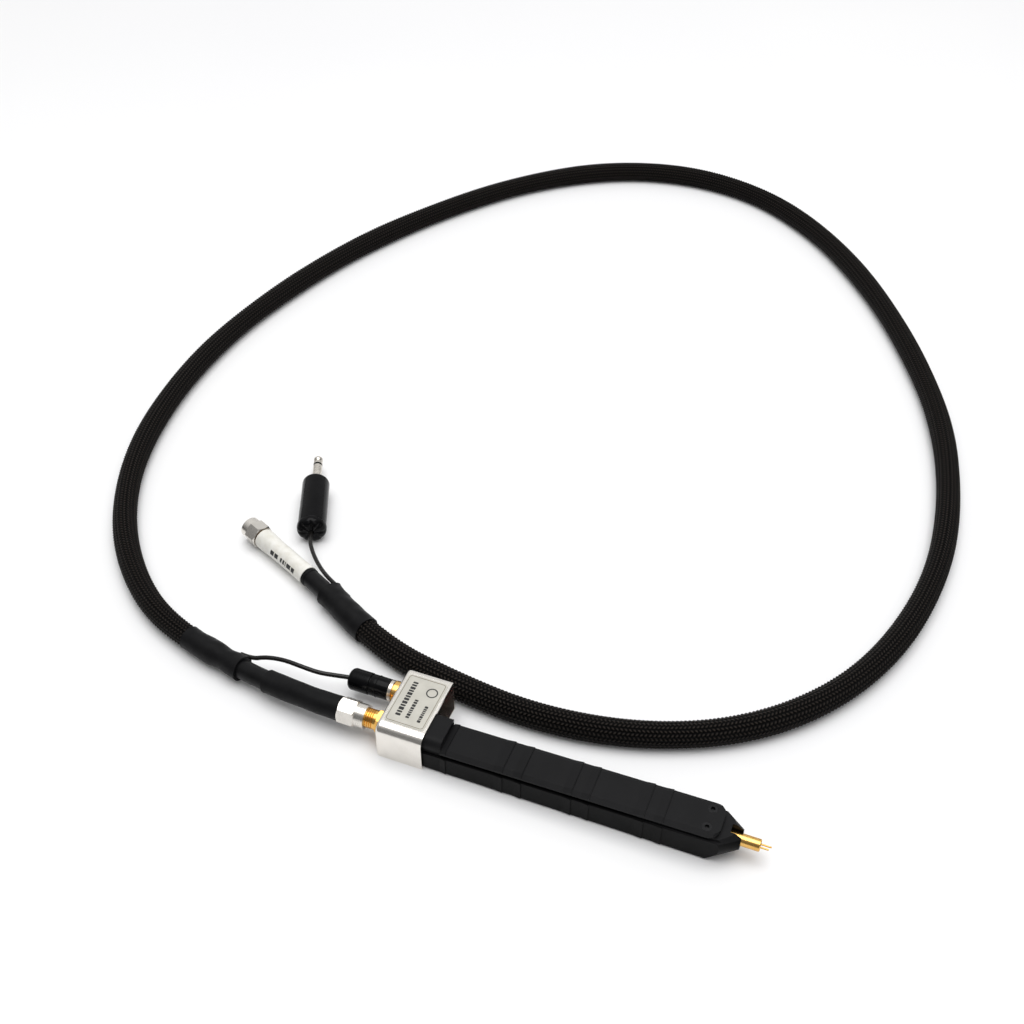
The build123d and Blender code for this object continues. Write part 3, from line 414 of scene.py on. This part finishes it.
def braid_material():
    """Black braided sleeve: columns of slanted strands, each of a few filaments. The colour is lighter on
    strand tops as painted highlights and near black between strands as painted shade.
    """
    surface = Surface("braid", Specular_IOR_Level=0.07)
    along, around = surface.along_and_around()
    column = surface.math("FLOOR", around)
    across = surface.math("SUBTRACT", around, column)
    parity = surface.math("MODULO", column, 2.0)
    lean = surface.math("MULTIPLY_ADD", parity, -2.0, 1.0)
    slant = surface.math("MULTIPLY", surface.math("SUBTRACT", across, 0.5), lean)
    phase = surface.math("MULTIPLY_ADD", parity, 0.5, along)
    phase = surface.math("ADD", phase, surface.math("MULTIPLY", slant, STRAND_SLANT))
    phase = surface.math("FRACT", surface.math("ADD", phase, 0.5))
    strand = surface.math("POWER", surface.math("SINE", surface.math("MULTIPLY", phase, pi)), 0.8)
    edge = surface.math("POWER", surface.math("SINE", surface.math("MULTIPLY", across, pi)), 0.6)
    height = surface.math("MULTIPLY", strand, edge)
    filament = surface.math("SINE", surface.math("MULTIPLY", phase, tau * FILAMENTS))
    height = surface.math("MULTIPLY_ADD", filament, FILAMENT_HEIGHT, height)
    # Painted highlight and shade: the colour follows strand height, lighter on the tops and near black in
    # the gaps.
    surface.colour(surface.ramp(height, (0.0005, 0.0004, 0.0004), (0.033, 0.027, 0.023), 0.6, 1.0))
    surface.roughness(surface.ramp(surface.noise(900.0, 3.0), 0.42, 0.58))
    surface.bump(height, 0.0004, 0.9)
    return surface.material


def copper_sheath():
    return speckled(
        "copper_sheath",
        tint=(500.0, 3.0, (0.60, 0.42, 0.30), (0.70, 0.52, 0.40)),
        gloss=(700.0, 3.0, 0.25, 0.4),
        Metallic=1.0,
    )


def make_materials():
    """One material for each of the record's slots, and two inks for the label."""
    fine = (2600.0, 2600.0, 500.0)
    turned = (5200.0, 700.0, 700.0)
    nickel = plated_metal(
        "nickel_sheet", (0.83, 0.80, 0.75), (0.76, 0.73, 0.68), (0.16, 0.28), fine, 0.000008
    )
    nuts = plated_metal("nut_steel", (0.74, 0.71, 0.66), (0.60, 0.57, 0.53), (0.22, 0.34), turned, 0.00001)
    gold = plated_metal("gold_plate", (0.83, 0.50, 0.15), (0.66, 0.37, 0.09), (0.17, 0.30), turned, 0.00001)
    steel = plated_metal("plain_steel", (0.55, 0.55, 0.55), (0.44, 0.44, 0.44), (0.25, 0.4), turned, 0.00001)
    chrome = plated_metal(
        "plug_nickel", (0.70, 0.66, 0.60), (0.55, 0.52, 0.47), (0.20, 0.34), turned, 0.00001
    )
    white = ptfe()
    return {
        "handle_plastic": handle_plastic(),
        "nickel_sheet": nickel,
        "gold_plate": gold,
        "nut_steel": nuts,
        "screw_black": black_screw(),
        "screw_steel": steel,
        "spring_steel": steel,
        "insulator": white,
        "switch_case": switch_case(),
        "label_print": foil_label(),
        "coax_jacket": cable_jacket(),
        "lead_jacket": lead_jacket(),
        "line_jacket": copper_sheath(),
        "copper": gold,
        "wire_jacket": hook_up_wire(),
        "heat_shrink": shrunk_sleeve(),
        "braid": braid_material(),
        "marker_white": marker_white(),
        "plug_plastic": glossy_plastic(),
        "plug_nickel": chrome,
        "label_ink": label_ink(),
        "label_border_ink": label_border_ink(),
    }


BEVEL_ANGLE = 28
SMOOTH_ANGLE = 50
EDGE_ROUNDING = {
    "handle_body": 0.3,
    "handle_cover": 0.3,
    "connector_housing": 0.1,
    "rf_jack_nut": 0.12,
    "near_coupling_nut": 0.14,
    "far_coupling_nut": 0.14,
    "control_jack_nut": 0.2,
    "control_plug_shell": 0.12,
}


def dress_cad_nodes(materials):
    for name, width in EDGE_ROUNDING.items():
        bevel = NODES[name].modifiers.new("edges", "BEVEL")
        bevel.width = width * MM
        bevel.segments = 3
        bevel.limit_method = "ANGLE"
        bevel.angle_limit = radians(BEVEL_ANGLE)
    for part in frame["record"]["subparts"]:
        mesh = NODES[part["node"]].data
        mesh.materials.clear()
        mesh.materials.append(materials[part["material_slot"]])


# ---------------------------------------------------------------- lines, tubes and turned pieces


def route_line(name, route):
    """The smooth line that a route's points control, as closely spaced points."""
    curve = bpy.data.curves.new(name + "_line", "CURVE")
    curve.dimensions = "3D"
    spline = curve.splines.new("NURBS")
    spline.points.add(len(route) - 1)
    for point, place in zip(spline.points, route):
        point.co = (*[value * MM for value in place], 1.0)
    spline.order_u = 3
    spline.use_endpoint_u = True
    spline.resolution_u = 60
    holder = bpy.data.objects.new(name + "_line", curve)
    mesh = bpy.data.meshes.new_from_object(holder)
    points = np.array([vertex.co for vertex in mesh.vertices])
    bpy.data.meshes.remove(mesh)
    bpy.data.objects.remove(holder)
    bpy.data.curves.remove(curve)
    return points


def distances(points):
    steps = np.linalg.norm(np.diff(points, axis=0), axis=1)
    return np.concatenate([[0.0], np.cumsum(steps)])


def line_length(points):
    return float(distances(points)[-1])


def joined(*lines):
    """Lines that meet end to end, as one, without the doubled points."""
    points = np.concatenate(lines)
    keep = np.concatenate([[True], np.linalg.norm(np.diff(points, axis=0), axis=1) > 1e-7])
    return points[keep]


def stretch(points, start, end, spacing):
    """Evenly spaced points from start to end, both measured along the line in metres."""
    along = distances(points)
    count = max(2, round((end - start) / spacing) + 1)
    at = np.linspace(start, end, count)
    return np.column_stack([np.interp(at, along, points[:, axis]) for axis in range(3)])


def rings_about(line, radii):
    """Rings of points about a line: radii has a row for each point and a column for each angle."""
    ahead = np.gradient(line, axis=0)
    ahead /= np.linalg.norm(ahead, axis=1)[:, None]
    side = np.cross(ahead, (0.0, 0.0, 1.0))
    side /= np.linalg.norm(side, axis=1)[:, None]
    above = np.cross(side, ahead)
    angles = np.arange(radii.shape[1]) * tau / radii.shape[1]
    out = np.cos(angles)[None, :, None] * side[:, None] + np.sin(angles)[None, :, None] * above[:, None]
    return line[:, None] + out * radii[:, :, None]


def add_piece(name, mesh, material, body="root"):
    piece = bpy.data.objects.new(name, mesh)
    bpy.context.scene.collection.objects.link(piece)
    mesh.materials.append(material)
    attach(piece, body)
    return piece


def mesh_from_rings(name, rings, along, turns, looped=False):
    """A closed skin over rings of points. Its map holds along and the share of turns around."""
    count, around = rings.shape[:2]
    rows = np.arange(count if looped else count - 1)[:, None]
    columns = np.arange(around)[None, :]
    after, right = (rows + 1) % count, (columns + 1) % around
    quads = np.stack(
        [
            rows * around + columns,
            after * around + columns,
            after * around + right,
            rows * around + right,
        ],
        -1,
    ).reshape(-1, 4)
    low, high = along[rows], along[after]
    left = columns / around * turns
    following = (columns + 1) / around * turns
    corners = [(low, left), (high, left), (high, following), (low, following)]
    maps = np.stack([np.stack(np.broadcast_arrays(*corner), -1) for corner in corners], 2).reshape(-1, 2)
    faces = quads.tolist()
    if not looped:
        faces.append(list(range(around)))
        faces.append(list(range(count * around - 1, (count - 1) * around - 1, -1)))
        maps = np.concatenate([maps, np.zeros((2 * around, 2))])
    mesh = bpy.data.meshes.new(name)
    mesh.from_pydata(rings.reshape(-1, 3).tolist(), [], faces)
    layer = mesh.uv_layers.new(name="along")
    layer.data.foreach_set("uv", maps.astype(np.float32).ravel())
    mesh.polygons.foreach_set("use_smooth", [True] * len(mesh.polygons))
    mesh.set_sharp_from_angle(angle=radians(SMOOTH_ANGLE))
    mesh.validate()
    return mesh


def turned_mesh(name, profile, segments=64, shape=None, looped=False):
    """A solid of revolution about X from (x, radius) points, in millimetres; looped has a bore."""
    profile = np.array(profile) * MM
    angles = np.arange(segments) * tau / segments
    along = np.repeat(profile[:, :1], segments, axis=1)
    radii = np.repeat(profile[:, 1:], segments, axis=1)
    if shape:
        along, radii = shape(along, radii, angles[None, :])
    rings = np.stack([along, radii * np.cos(angles), radii * np.sin(angles)], -1)
    rings = rings[:, ::-1]
    return mesh_from_rings(name, rings, profile[:, 0], 1.0, looped)


def arc(centre_x, centre_r, radius, start, end, steps=8):
    """Points of a round in a turned profile, with angles in degrees from +X."""
    turns = [radians(start + (end - start) * step / steps) for step in range(steps + 1)]
    return [(centre_x + radius * cos(turn), centre_r + radius * sin(turn)) for turn in turns]


# ---------------------------------------------------------------- cable and leads

# Routes and plug places are in millimetres, in the part's own frame.

NEAR_COAX_ROUTE = [
    (-73.7, -6.0, 7.6),
    (-81.5, -5.8, 7.5),
    (-91.5, -4.6, 6.8),
    (-101.5, -3.1, 5.8),
    (-111.5, -1.1, 5.0),
    (-121.5, 1.4, 4.9),
]
BRAID_ROUTE = [
    (-121.5, 1.4, 4.9),
    (-141.0, 5.5, 4.7),
    (-165.0, 19.5, 4.4),
    (-188.5, 45.0, 4.4),
    (-206.0, 80.0, 4.4),
    (-214.5, 121.0, 4.4),
    (-215.5, 163.0, 4.4),
    (-208.0, 208.0, 4.4),
    (-194.0, 254.0, 4.4),
    (-170.0, 301.0, 4.4),
    (-142.0, 340.0, 4.4),
    (-107.0, 368.0, 4.4),
    (-68.0, 379.0, 4.4),
    (-28.0, 371.5, 4.4),
    (7.0, 346.5, 4.4),
    (37.5, 310.0, 4.4),
    (64.0, 264.5, 4.4),
    (84.5, 217.0, 4.4),
    (94.0, 172.0, 4.4),
    (96.0, 130.0, 4.4),
    (88.0, 89.0, 4.4),
    (72.5, 58.0, 4.4),
    (49.0, 34.5, 4.4),
    (19.0, 20.5, 4.4),
    (-13.0, 15.5, 4.4),
    (-45.0, 18.7, 4.4),
    (-72.5, 24.8, 4.4),
    (-92.0, 35.3, 4.9),
]
FAR_COAX_ROUTE = [
    (-92.0, 35.3, 4.9),
    (-101.5, 40.6, 4.85),
    (-111.3, 45.5, 4.7),
    (-122.9, 51.1, 4.6),
    (-133.9, 56.2, 4.6),
]
NEAR_LEAD_ROUTE = [
    (-113.5, 3.4, 6.4),
    (-109.0, 2.9, 6.5),
    (-104.6, 4.4, 7.6),
    (-98.0, 5.0, 8.3),
    (-91.0, 4.5, 8.3),
    (-85.0, 4.6, 7.8),
    (-79.6, 6.0, 7.3),
    (-74.8, 7.0, 7.2),
]
FAR_LEAD_ROUTE = [
    (-92.5, 40.4, 6.0),
    (-97.3, 42.7, 6.4),
    (-102.3, 45.3, 6.4),
    (-107.1, 49.0, 5.2),
    (-111.8, 53.2, 4.4),
    (-116.0, 57.5, 4.7),
    (-118.8, 61.3, 5.3),
    (-120.1, 64.9, 5.5),
]
NEAR_PLUG_BASE = (-71.6, -6.0, 7.6)
FAR_PLUG_BASE = (-135.8, 57.09, 4.6)
PHONE_ANGLE = 114.1
COAX_DIAMETER = 6.6 * MM
BRAID_DIAMETER = 8.7 * MM
LEAD_DIAMETER = 1.5 * MM
BRAID_PITCH = 1.35 * MM
BRAID_COLUMNS = 20
STRAND_HEIGHT = 0.4 * MM
NEAR_SQUEEZE, NEAR_SQUEEZE_LENGTH = 0.2, 38 * MM
FAR_SQUEEZE, FAR_SQUEEZE_LENGTH = 0.07, 25 * MM
FLOOR_GAP = 0.02 * MM
COAX_SPACING = 0.8 * MM
LEAD_SPACING = 0.4 * MM
JACKET_UNEVENNESS = 0.008

LINES = {
    name: route_line(name, route)
    for name, route in {
        "near_coax": NEAR_COAX_ROUTE,
        "braid": BRAID_ROUTE,
        "far_coax": FAR_COAX_ROUTE,
        "near_lead": NEAR_LEAD_ROUTE,
        "far_lead": FAR_LEAD_ROUTE,
    }.items()
}


def plain_cable(name, line, diameter, spacing, material, node):
    """A smooth round cable, with the slight unevenness of a bent jacket."""
    points = stretch(line, 0.0, line_length(line), spacing)
    along = distances(points)
    wave = 1 + JACKET_UNEVENNESS * np.sin(along / (3.1 * MM)) * np.sin(along / (7.3 * MM))
    radii = np.repeat((diameter / 2 * wave)[:, None], 32, axis=1)
    mesh = mesh_from_rings(name, rings_about(points, radii), along / MM, 1.0)
    piece = add_piece(name, mesh, material)
    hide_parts(node)
    return piece, points


def braided_cable(material):
    """The braided sleeve: each strand that comes to the surface is a bump of the mesh."""
    line = LINES["braid"]
    points = stretch(line, 0.0, line_length(line), BRAID_PITCH / 2)
    along = distances(points)
    around = 2 * BRAID_COLUMNS
    ring = np.arange(len(points))[:, None]
    place = np.arange(around)[None, :]
    raised = (place % 2 == 1) & ((ring + place // 2) % 2 == 0)
    squeezed = NEAR_SQUEEZE * np.exp(-((along / NEAR_SQUEEZE_LENGTH) ** 2))
    squeezed += FAR_SQUEEZE * np.exp(-(along[-1] - along) / FAR_SQUEEZE_LENGTH)
    swell = 1 - squeezed + 0.02 * np.sin(along / (23 * MM) + 1.0) + 0.012 * np.sin(along / (9.4 * MM))
    slow = 0.014 * np.sin(2 * place * tau / around + along[:, None] / (31 * MM))
    radii = BRAID_DIAMETER / 2 * (swell[:, None] + slow) + STRAND_HEIGHT * (raised - 0.5)
    rings = rings_about(points, radii)
    rings[:, :, 2] = np.maximum(rings[:, :, 2], FLOOR_GAP)
    mesh = mesh_from_rings("braid", rings, along / BRAID_PITCH, float(BRAID_COLUMNS))
    piece = add_piece("braid", mesh, material)
    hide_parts("braided_sleeve")
    return piece, points


# ---------------------------------------------------------------- coverings on the cable


COVERING_BORE = 3.2
COVERING_SPACING = 0.5 * MM
COVERING_SIDES = 48
RIM_SHARE = 0.25


def covering(name, line, start, end, outer, material, node):
    """A sleeve shrunk over the cable. outer(share, angle) gives its radius in millimetres."""
    points = stretch(line, start, end, COVERING_SPACING)
    share = np.linspace(0.0, 1.0, len(points))[:, None]
    angles = (np.arange(COVERING_SIDES) * tau / COVERING_SIDES)[None, :]
    radii = outer(share, angles) * MM
    skin = rings_about(points, radii)
    bore = rings_about(points, np.full(radii.shape, COVERING_BORE * MM))
    rim_start = skin[:1] * (1 - RIM_SHARE) + bore[:1] * RIM_SHARE
    rim_end = skin[-1:] * (1 - RIM_SHARE) + bore[-1:] * RIM_SHARE
    rings = np.concatenate([bore[:1], rim_start, skin, rim_end, bore[-1:], bore[::-1][1:-1]])
    along = distances(points) / MM
    along = np.concatenate([along[:1], along[:1], along, along[-1:], along[-1:], along[::-1][1:-1]])
    mesh = mesh_from_rings(name, rings, along, 1.0, looped=True)
    piece = add_piece(name, mesh, material)
    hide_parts(node)


def bulge(angles, direction, width):
    """1 in one direction around a sleeve, falling smoothly to 0."""
    turn = np.abs((angles - direction + pi) % tau - pi)
    return np.exp(-((turn / width) ** 2))


def hump(share, at, width):
    """1 at one share of a sleeve's length, falling smoothly to 0 on both sides."""
    return np.exp(-(((share - at) / width) ** 2))


def fade(share, length):
    """1 where share is 0, dying away over a length."""
    return np.exp(-share / length)


def shrink_near_plug(share, angles):
    """Slightly flared over the plug's ferrule, with a soft edge at the other end."""
    flare = 0.14 * fade(share, 0.09) + 0.07 * hump(share, 0.24, 0.08)
    ripple = 0.04 * np.sin(9 * share + 2 * angles) + 0.03 * np.sin(17 * share - angles)
    lip = 0.1 * fade(1 - share, 0.03)
    return 3.88 + flare + ripple + lip


def shrink_at_near_split(share, angles):
    """Wide over the braid, necked where it lets out the cable and the lead."""
    neck = -0.32 * hump(share, 0.3, 0.13)
    body = 0.16 * hump(share, 0.55, 0.14)
    end = 0.1 * fade(share, 0.05) + 0.12 * fade(1 - share, 0.03)
    lead = 0.42 * bulge(angles, 0.3, 0.5) * fade(share, 0.35)
    flat = -0.12 * bulge(angles, -pi / 2, 0.6)
    ripple = 0.05 * np.sin(11 * share + 2 * angles) + 0.04 * np.sin(23 * share - 3 * angles)
    return 4.12 + neck + body + end + lead + flat + ripple


def shrink_at_far_split(share, angles):
    """The same at the braid's other end: share 0 is over the braid."""
    body = -0.4 / (1 + np.exp(-(share - 0.6) / 0.08))
    end = 0.2 * fade(1 - share, 0.05) + 0.1 * fade(share, 0.03)
    lead = 1.15 * bulge(angles, 0.2, 0.55) * fade(1 - share, 0.45)
    flat = -0.2 * bulge(angles, -pi / 2, 0.6)
    ripple = 0.05 * np.sin(8 * share + 2 * angles) + 0.05 * np.sin(19 * share - 3 * angles + 1)
    return 4.62 + body + end + lead + flat + ripple


def marker_skin(share, angles):
    """A necked sleeve, thicker towards the plug."""
    neck = -0.1 * hump(share, 0.45, 0.25)
    end = 0.05 * fade(share, 0.03) + 0.22 * hump(share, 0.9, 0.14)
    ripple = 0.03 * np.sin(14 * share + 2 * angles)
    return 3.58 + neck + end + ripple


def marker_collar_skin(share, angles):
    """A short black rim with a rounded edge."""
    return 3.36 + 0.14 * np.sin(pi * np.clip(share * 0.85 + 0.15, 0, 1)) ** 0.7 + 0 * angles


def add_coverings(materials):
    black = materials["heat_shrink"]
    near, braid, far = LINES["near_coax"], LINES["braid"], LINES["far_coax"]
    near_length, far_length = line_length(near), line_length(far)
    braid_length = line_length(braid)
    to_near_plug = joined(np.array([NEAR_PLUG_BASE]) * MM, near)
    covering(
        "heat_shrink_near_plug", to_near_plug, 0.1 * MM, 28.2 * MM, shrink_near_plug,
        black, "heat_shrink_1",
    )
    split = joined(near, braid)
    covering(
        "heat_shrink_near_split", split, near_length - 11.2 * MM, near_length + 13.2 * MM,
        shrink_at_near_split, black, "heat_shrink_2",
    )
    split = joined(braid, far)
    covering(
        "heat_shrink_far_split", split, braid_length - 12.8 * MM, braid_length + 9.7 * MM,
        shrink_at_far_split, black, "heat_shrink_3",
    )
    to_far_plug = joined(far, np.array([FAR_PLUG_BASE]) * MM)
    covering(
        "marker_sleeve_printed", to_far_plug, far_length - 25.3 * MM, far_length + 1.6 * MM,
        marker_skin, materials["marker_white"], "marker_sleeve",
    )
    covering(
        "marker_collar_rim", far, far_length - 26.9 * MM, far_length - 25.1 * MM,
        marker_collar_skin, black, "marker_collar",
    )


# ---------------------------------------------------------------- plugs on the leads


def place_along(piece, start, direction):
    """Bakes a piece made about X at the origin into its place, so that it needs no transform."""
    ahead = Vector(direction).normalized()
    side = Vector((0.0, 0.0, 1.0)).cross(ahead)
    turn = Matrix((ahead, side, ahead.cross(side))).transposed().to_4x4()
    piece.transform(Matrix.Translation(Vector(start)) @ turn)


def phone_plug(materials):
    """Turned and moulded barrel with a domed, notched cap on the cable's side."""
    start = Vector([value * MM for value in FAR_LEAD_ROUTE[-1]])
    ahead = (cos(radians(PHONE_ANGLE)), sin(radians(PHONE_ANGLE)), 0.0)
    barrel = [(3.6, 0.2), (3.6, 4.9)]
    barrel += arc(3.95, 4.84, 0.32, 170, 90)
    barrel += [(10.0, 5.18), (18.0, 5.10)]
    barrel += arc(26.7, 3.5, 1.6, 90, 8)
    barrel += [(28.26, 2.9), (28.3, 0.2)]
    mesh = turned_mesh("phone_plug_barrel_moulded", barrel, 72)
    place_along(mesh, start, ahead)
    piece = add_piece("phone_plug_barrel_moulded", mesh, materials["plug_plastic"])
    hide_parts("phone_plug_barrel")

    def notched(along, radii, angles):
        """Eight notches on the dome around the cable's hole."""
        dome = np.clip(1 - along / (2.4 * MM), 0, 1) * np.clip((radii - 1.2 * MM) / (1.2 * MM), 0, 1)
        notch = np.clip(np.cos(8 * angles) - 0.25, 0, 1) * dome
        return along + 0.5 * MM * notch, radii - 0.15 * MM * notch

    cap = [(0.9, 0.2), (0.5, 0.95), (0.05, 1.15)]
    cap += arc(2.4, 3.03, 2.4, 180, 96, 14)
    cap += [(2.9, 5.45)] + arc(3.15, 5.2, 0.25, 90, 0, 4) + [(3.42, 4.8), (3.44, 0.2)]
    mesh = turned_mesh("phone_plug_cap_notched", cap, 96, notched)
    place_along(mesh, start, ahead)
    piece = add_piece("phone_plug_cap_notched", mesh, materials["plug_plastic"])
    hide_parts("phone_plug_cap")


def control_boot(materials):
    """The moulded boot of the near control plug, stepped at its middle."""
    low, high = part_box("control_plug_boot")
    start = Vector((low[0], (low[1] + high[1]) / 2, (low[2] + high[2]) / 2))
    boot = [(0.0, 0.8), (0.0, 1.6)] + arc(1.6, 2.05, 1.6, 160, 90, 8)
    boot += [(7.0, 3.62)] + arc(7.2, 3.42, 0.22, 80, 10, 4)
    boot += [(7.5, 3.2), (7.75, 3.2)] + arc(8.0, 3.28, 0.22, 170, 90, 4)
    boot += arc(10.0, 3.56, 0.12, 210, -30, 4) + [(14.1, 3.5)]
    boot += arc(14.15, 3.28, 0.22, 80, 10, 4) + [(14.4, 2.82), (9.25, 2.82), (9.2, 0.8)]
    mesh = turned_mesh("control_boot_moulded", boot, 64, looped=True)
    place_along(mesh, start, (1.0, 0.0, 0.0))
    piece = add_piece("control_boot_moulded", mesh, materials["plug_plastic"])
    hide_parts("control_plug_boot")


# ---------------------------------------------------------------- label print

PRINT_THICKNESS = 0.03 * MM
BORDER_INSET = 0.45 * MM
BORDER_WIDTH = 0.16 * MM
BORDER_ROUND = 0.9 * MM
RING_FROM_REAR = 9.9 * MM
RING_FROM_FAR_SIDE = 5.0 * MM
RING_RADIUS = 1.9 * MM
RING_WIDTH = 0.4 * MM
RING_SIDES = 40
BAR_ROUND = 0.18 * MM
# Each row of bars: its middle from the rear edge, its height, and its start and end, in millimetres.
BAR_ROWS = [(3.4, 1.7, 3.0, 16.6), (6.6, 1.2, 3.0, 10.4), (10.6, 1.1, 2.6, 9.4)]


def rounded_outline(x1, x2, y1, y2, radius, steps=6):
    corners = [(x2 - radius, y2 - radius, 0), (x1 + radius, y2 - radius, 90)]
    corners += [(x1 + radius, y1 + radius, 180), (x2 - radius, y1 + radius, 270)]
    points = []
    for x, y, start in corners:
        for step in range(steps + 1):
            turn = radians(start + 90 * step / steps)
            points.append((x + radius * cos(turn), y + radius * sin(turn)))
    return points


def circle_outline(x, y, radius):
    turns = [k * tau / RING_SIDES for k in range(RING_SIDES)]
    return [(x + radius * cos(turn), y + radius * sin(turn)) for turn in turns]


def frame_mesh(name, outer, inner, bottom):
    """A flat closed frame between two outlines with the same number of points."""
    count = len(outer)
    top = bottom + PRINT_THICKNESS
    rings = [(outer, bottom), (outer, top), (inner, top), (inner, bottom)]
    vertices = [(x, y, z) for outline, z in rings for x, y in outline]
    faces = []
    for ring in range(4):
        first, after = ring * count, (ring + 1) % 4 * count
        for k in range(count):
            following = (k + 1) % count
            faces.append([first + k, first + following, after + following, after + k])
    mesh = bpy.data.meshes.new(name)
    mesh.from_pydata(vertices, [], faces)
    return mesh


def add_prism(vertices, faces, outline, bottom):
    """Adds a flat closed bar of the print's thickness over an outline."""
    first, count = len(vertices), len(outline)
    vertices += [(x, y, bottom) for x, y in outline]
    vertices += [(x, y, bottom + PRINT_THICKNESS) for x, y in outline]
    faces.append([first + k for k in reversed(range(count))])
    faces.append([first + count + k for k in range(count)])
    for k in range(count):
        following = (k + 1) % count
        faces.append([first + k, first + following, first + count + following, first + count + k])


def label_border(low, high):
    sides = (low[0], high[0], low[1], high[1])
    signs = (1, -1, 1, -1)
    outer = [side + sign * BORDER_INSET for side, sign in zip(sides, signs)]
    inner = [side + sign * BORDER_WIDTH for side, sign in zip(outer, signs)]
    outside = rounded_outline(*outer, BORDER_ROUND)
    inside = rounded_outline(*inner, BORDER_ROUND - BORDER_WIDTH)
    return frame_mesh("label_border", outside, inside, high[2])


def label_ring(low, high):
    x, y = low[0] + RING_FROM_REAR, high[1] - RING_FROM_FAR_SIDE
    outer = circle_outline(x, y, RING_RADIUS)
    inner = circle_outline(x, y, RING_RADIUS - RING_WIDTH)
    return frame_mesh("label_ring", outer, inner, high[2])


def label_bars(low, high):
    """Rows of bars of uneven length, in place of printed words."""
    draw = random.Random(7)
    vertices, faces = [], []
    for from_rear, tall, start, end in BAR_ROWS:
        x1 = low[0] + (from_rear - tall / 2) * MM
        x2 = low[0] + (from_rear + tall / 2) * MM
        y = start
        while y < end:
            wide = draw.uniform(0.55, 1.25) * tall / 1.5
            y1, y2 = low[1] + y * MM, low[1] + (y + wide) * MM
            add_prism(vertices, faces, rounded_outline(x1, x2, y1, y2, BAR_ROUND, 3), high[2])
            y += wide + 0.22 * tall
    mesh = bpy.data.meshes.new("label_bars")
    mesh.from_pydata(vertices, [], faces)
    return mesh


def add_label_print(materials):
    """A plain border, rows of plain bars and a ring, in place of any printed words."""
    low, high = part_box("label_plate")
    add_piece("label_border", label_border(low, high), materials["label_border_ink"])
    add_piece("label_ring", label_ring(low, high), materials["label_ink"])
    add_piece("label_bars", label_bars(low, high), materials["label_ink"])


# ---------------------------------------------------------------- the object


def add_cable(materials):
    """The cable, its leads and what they carry."""
    near_coax, near_points = plain_cable(
        "near_coax_jacket", LINES["near_coax"], COAX_DIAMETER, COAX_SPACING,
        materials["coax_jacket"], "near_coax",
    )
    far_coax, far_points = plain_cable(
        "far_coax_jacket", LINES["far_coax"], COAX_DIAMETER, COAX_SPACING,
        materials["coax_jacket"], "far_coax",
    )
    near_lead, near_lead_points = plain_cable(
        "near_control_lead", LINES["near_lead"], LEAD_DIAMETER, LEAD_SPACING,
        materials["lead_jacket"], "near_lead",
    )
    far_lead, far_lead_points = plain_cable(
        "far_control_lead", LINES["far_lead"], LEAD_DIAMETER, LEAD_SPACING,
        materials["lead_jacket"], "far_lead",
    )
    braid, braid_points = braided_cable(materials["braid"])
    add_coverings(materials)
    phone_plug(materials)
    control_boot(materials)


add_camera()
add_world()
add_floor()
add_area_light("softbox", (0.0, 0.1, 1.6), (0.0, 0.1001, 0.0), 1.5, 21.0)
add_area_light("front_fill", (0.9, -0.9, 1.1), (0.0, 0.05, 0.0), 0.9, 2.0)
MATERIALS = make_materials()
dress_cad_nodes(MATERIALS)
add_cable(MATERIALS)
add_label_print(MATERIALS)
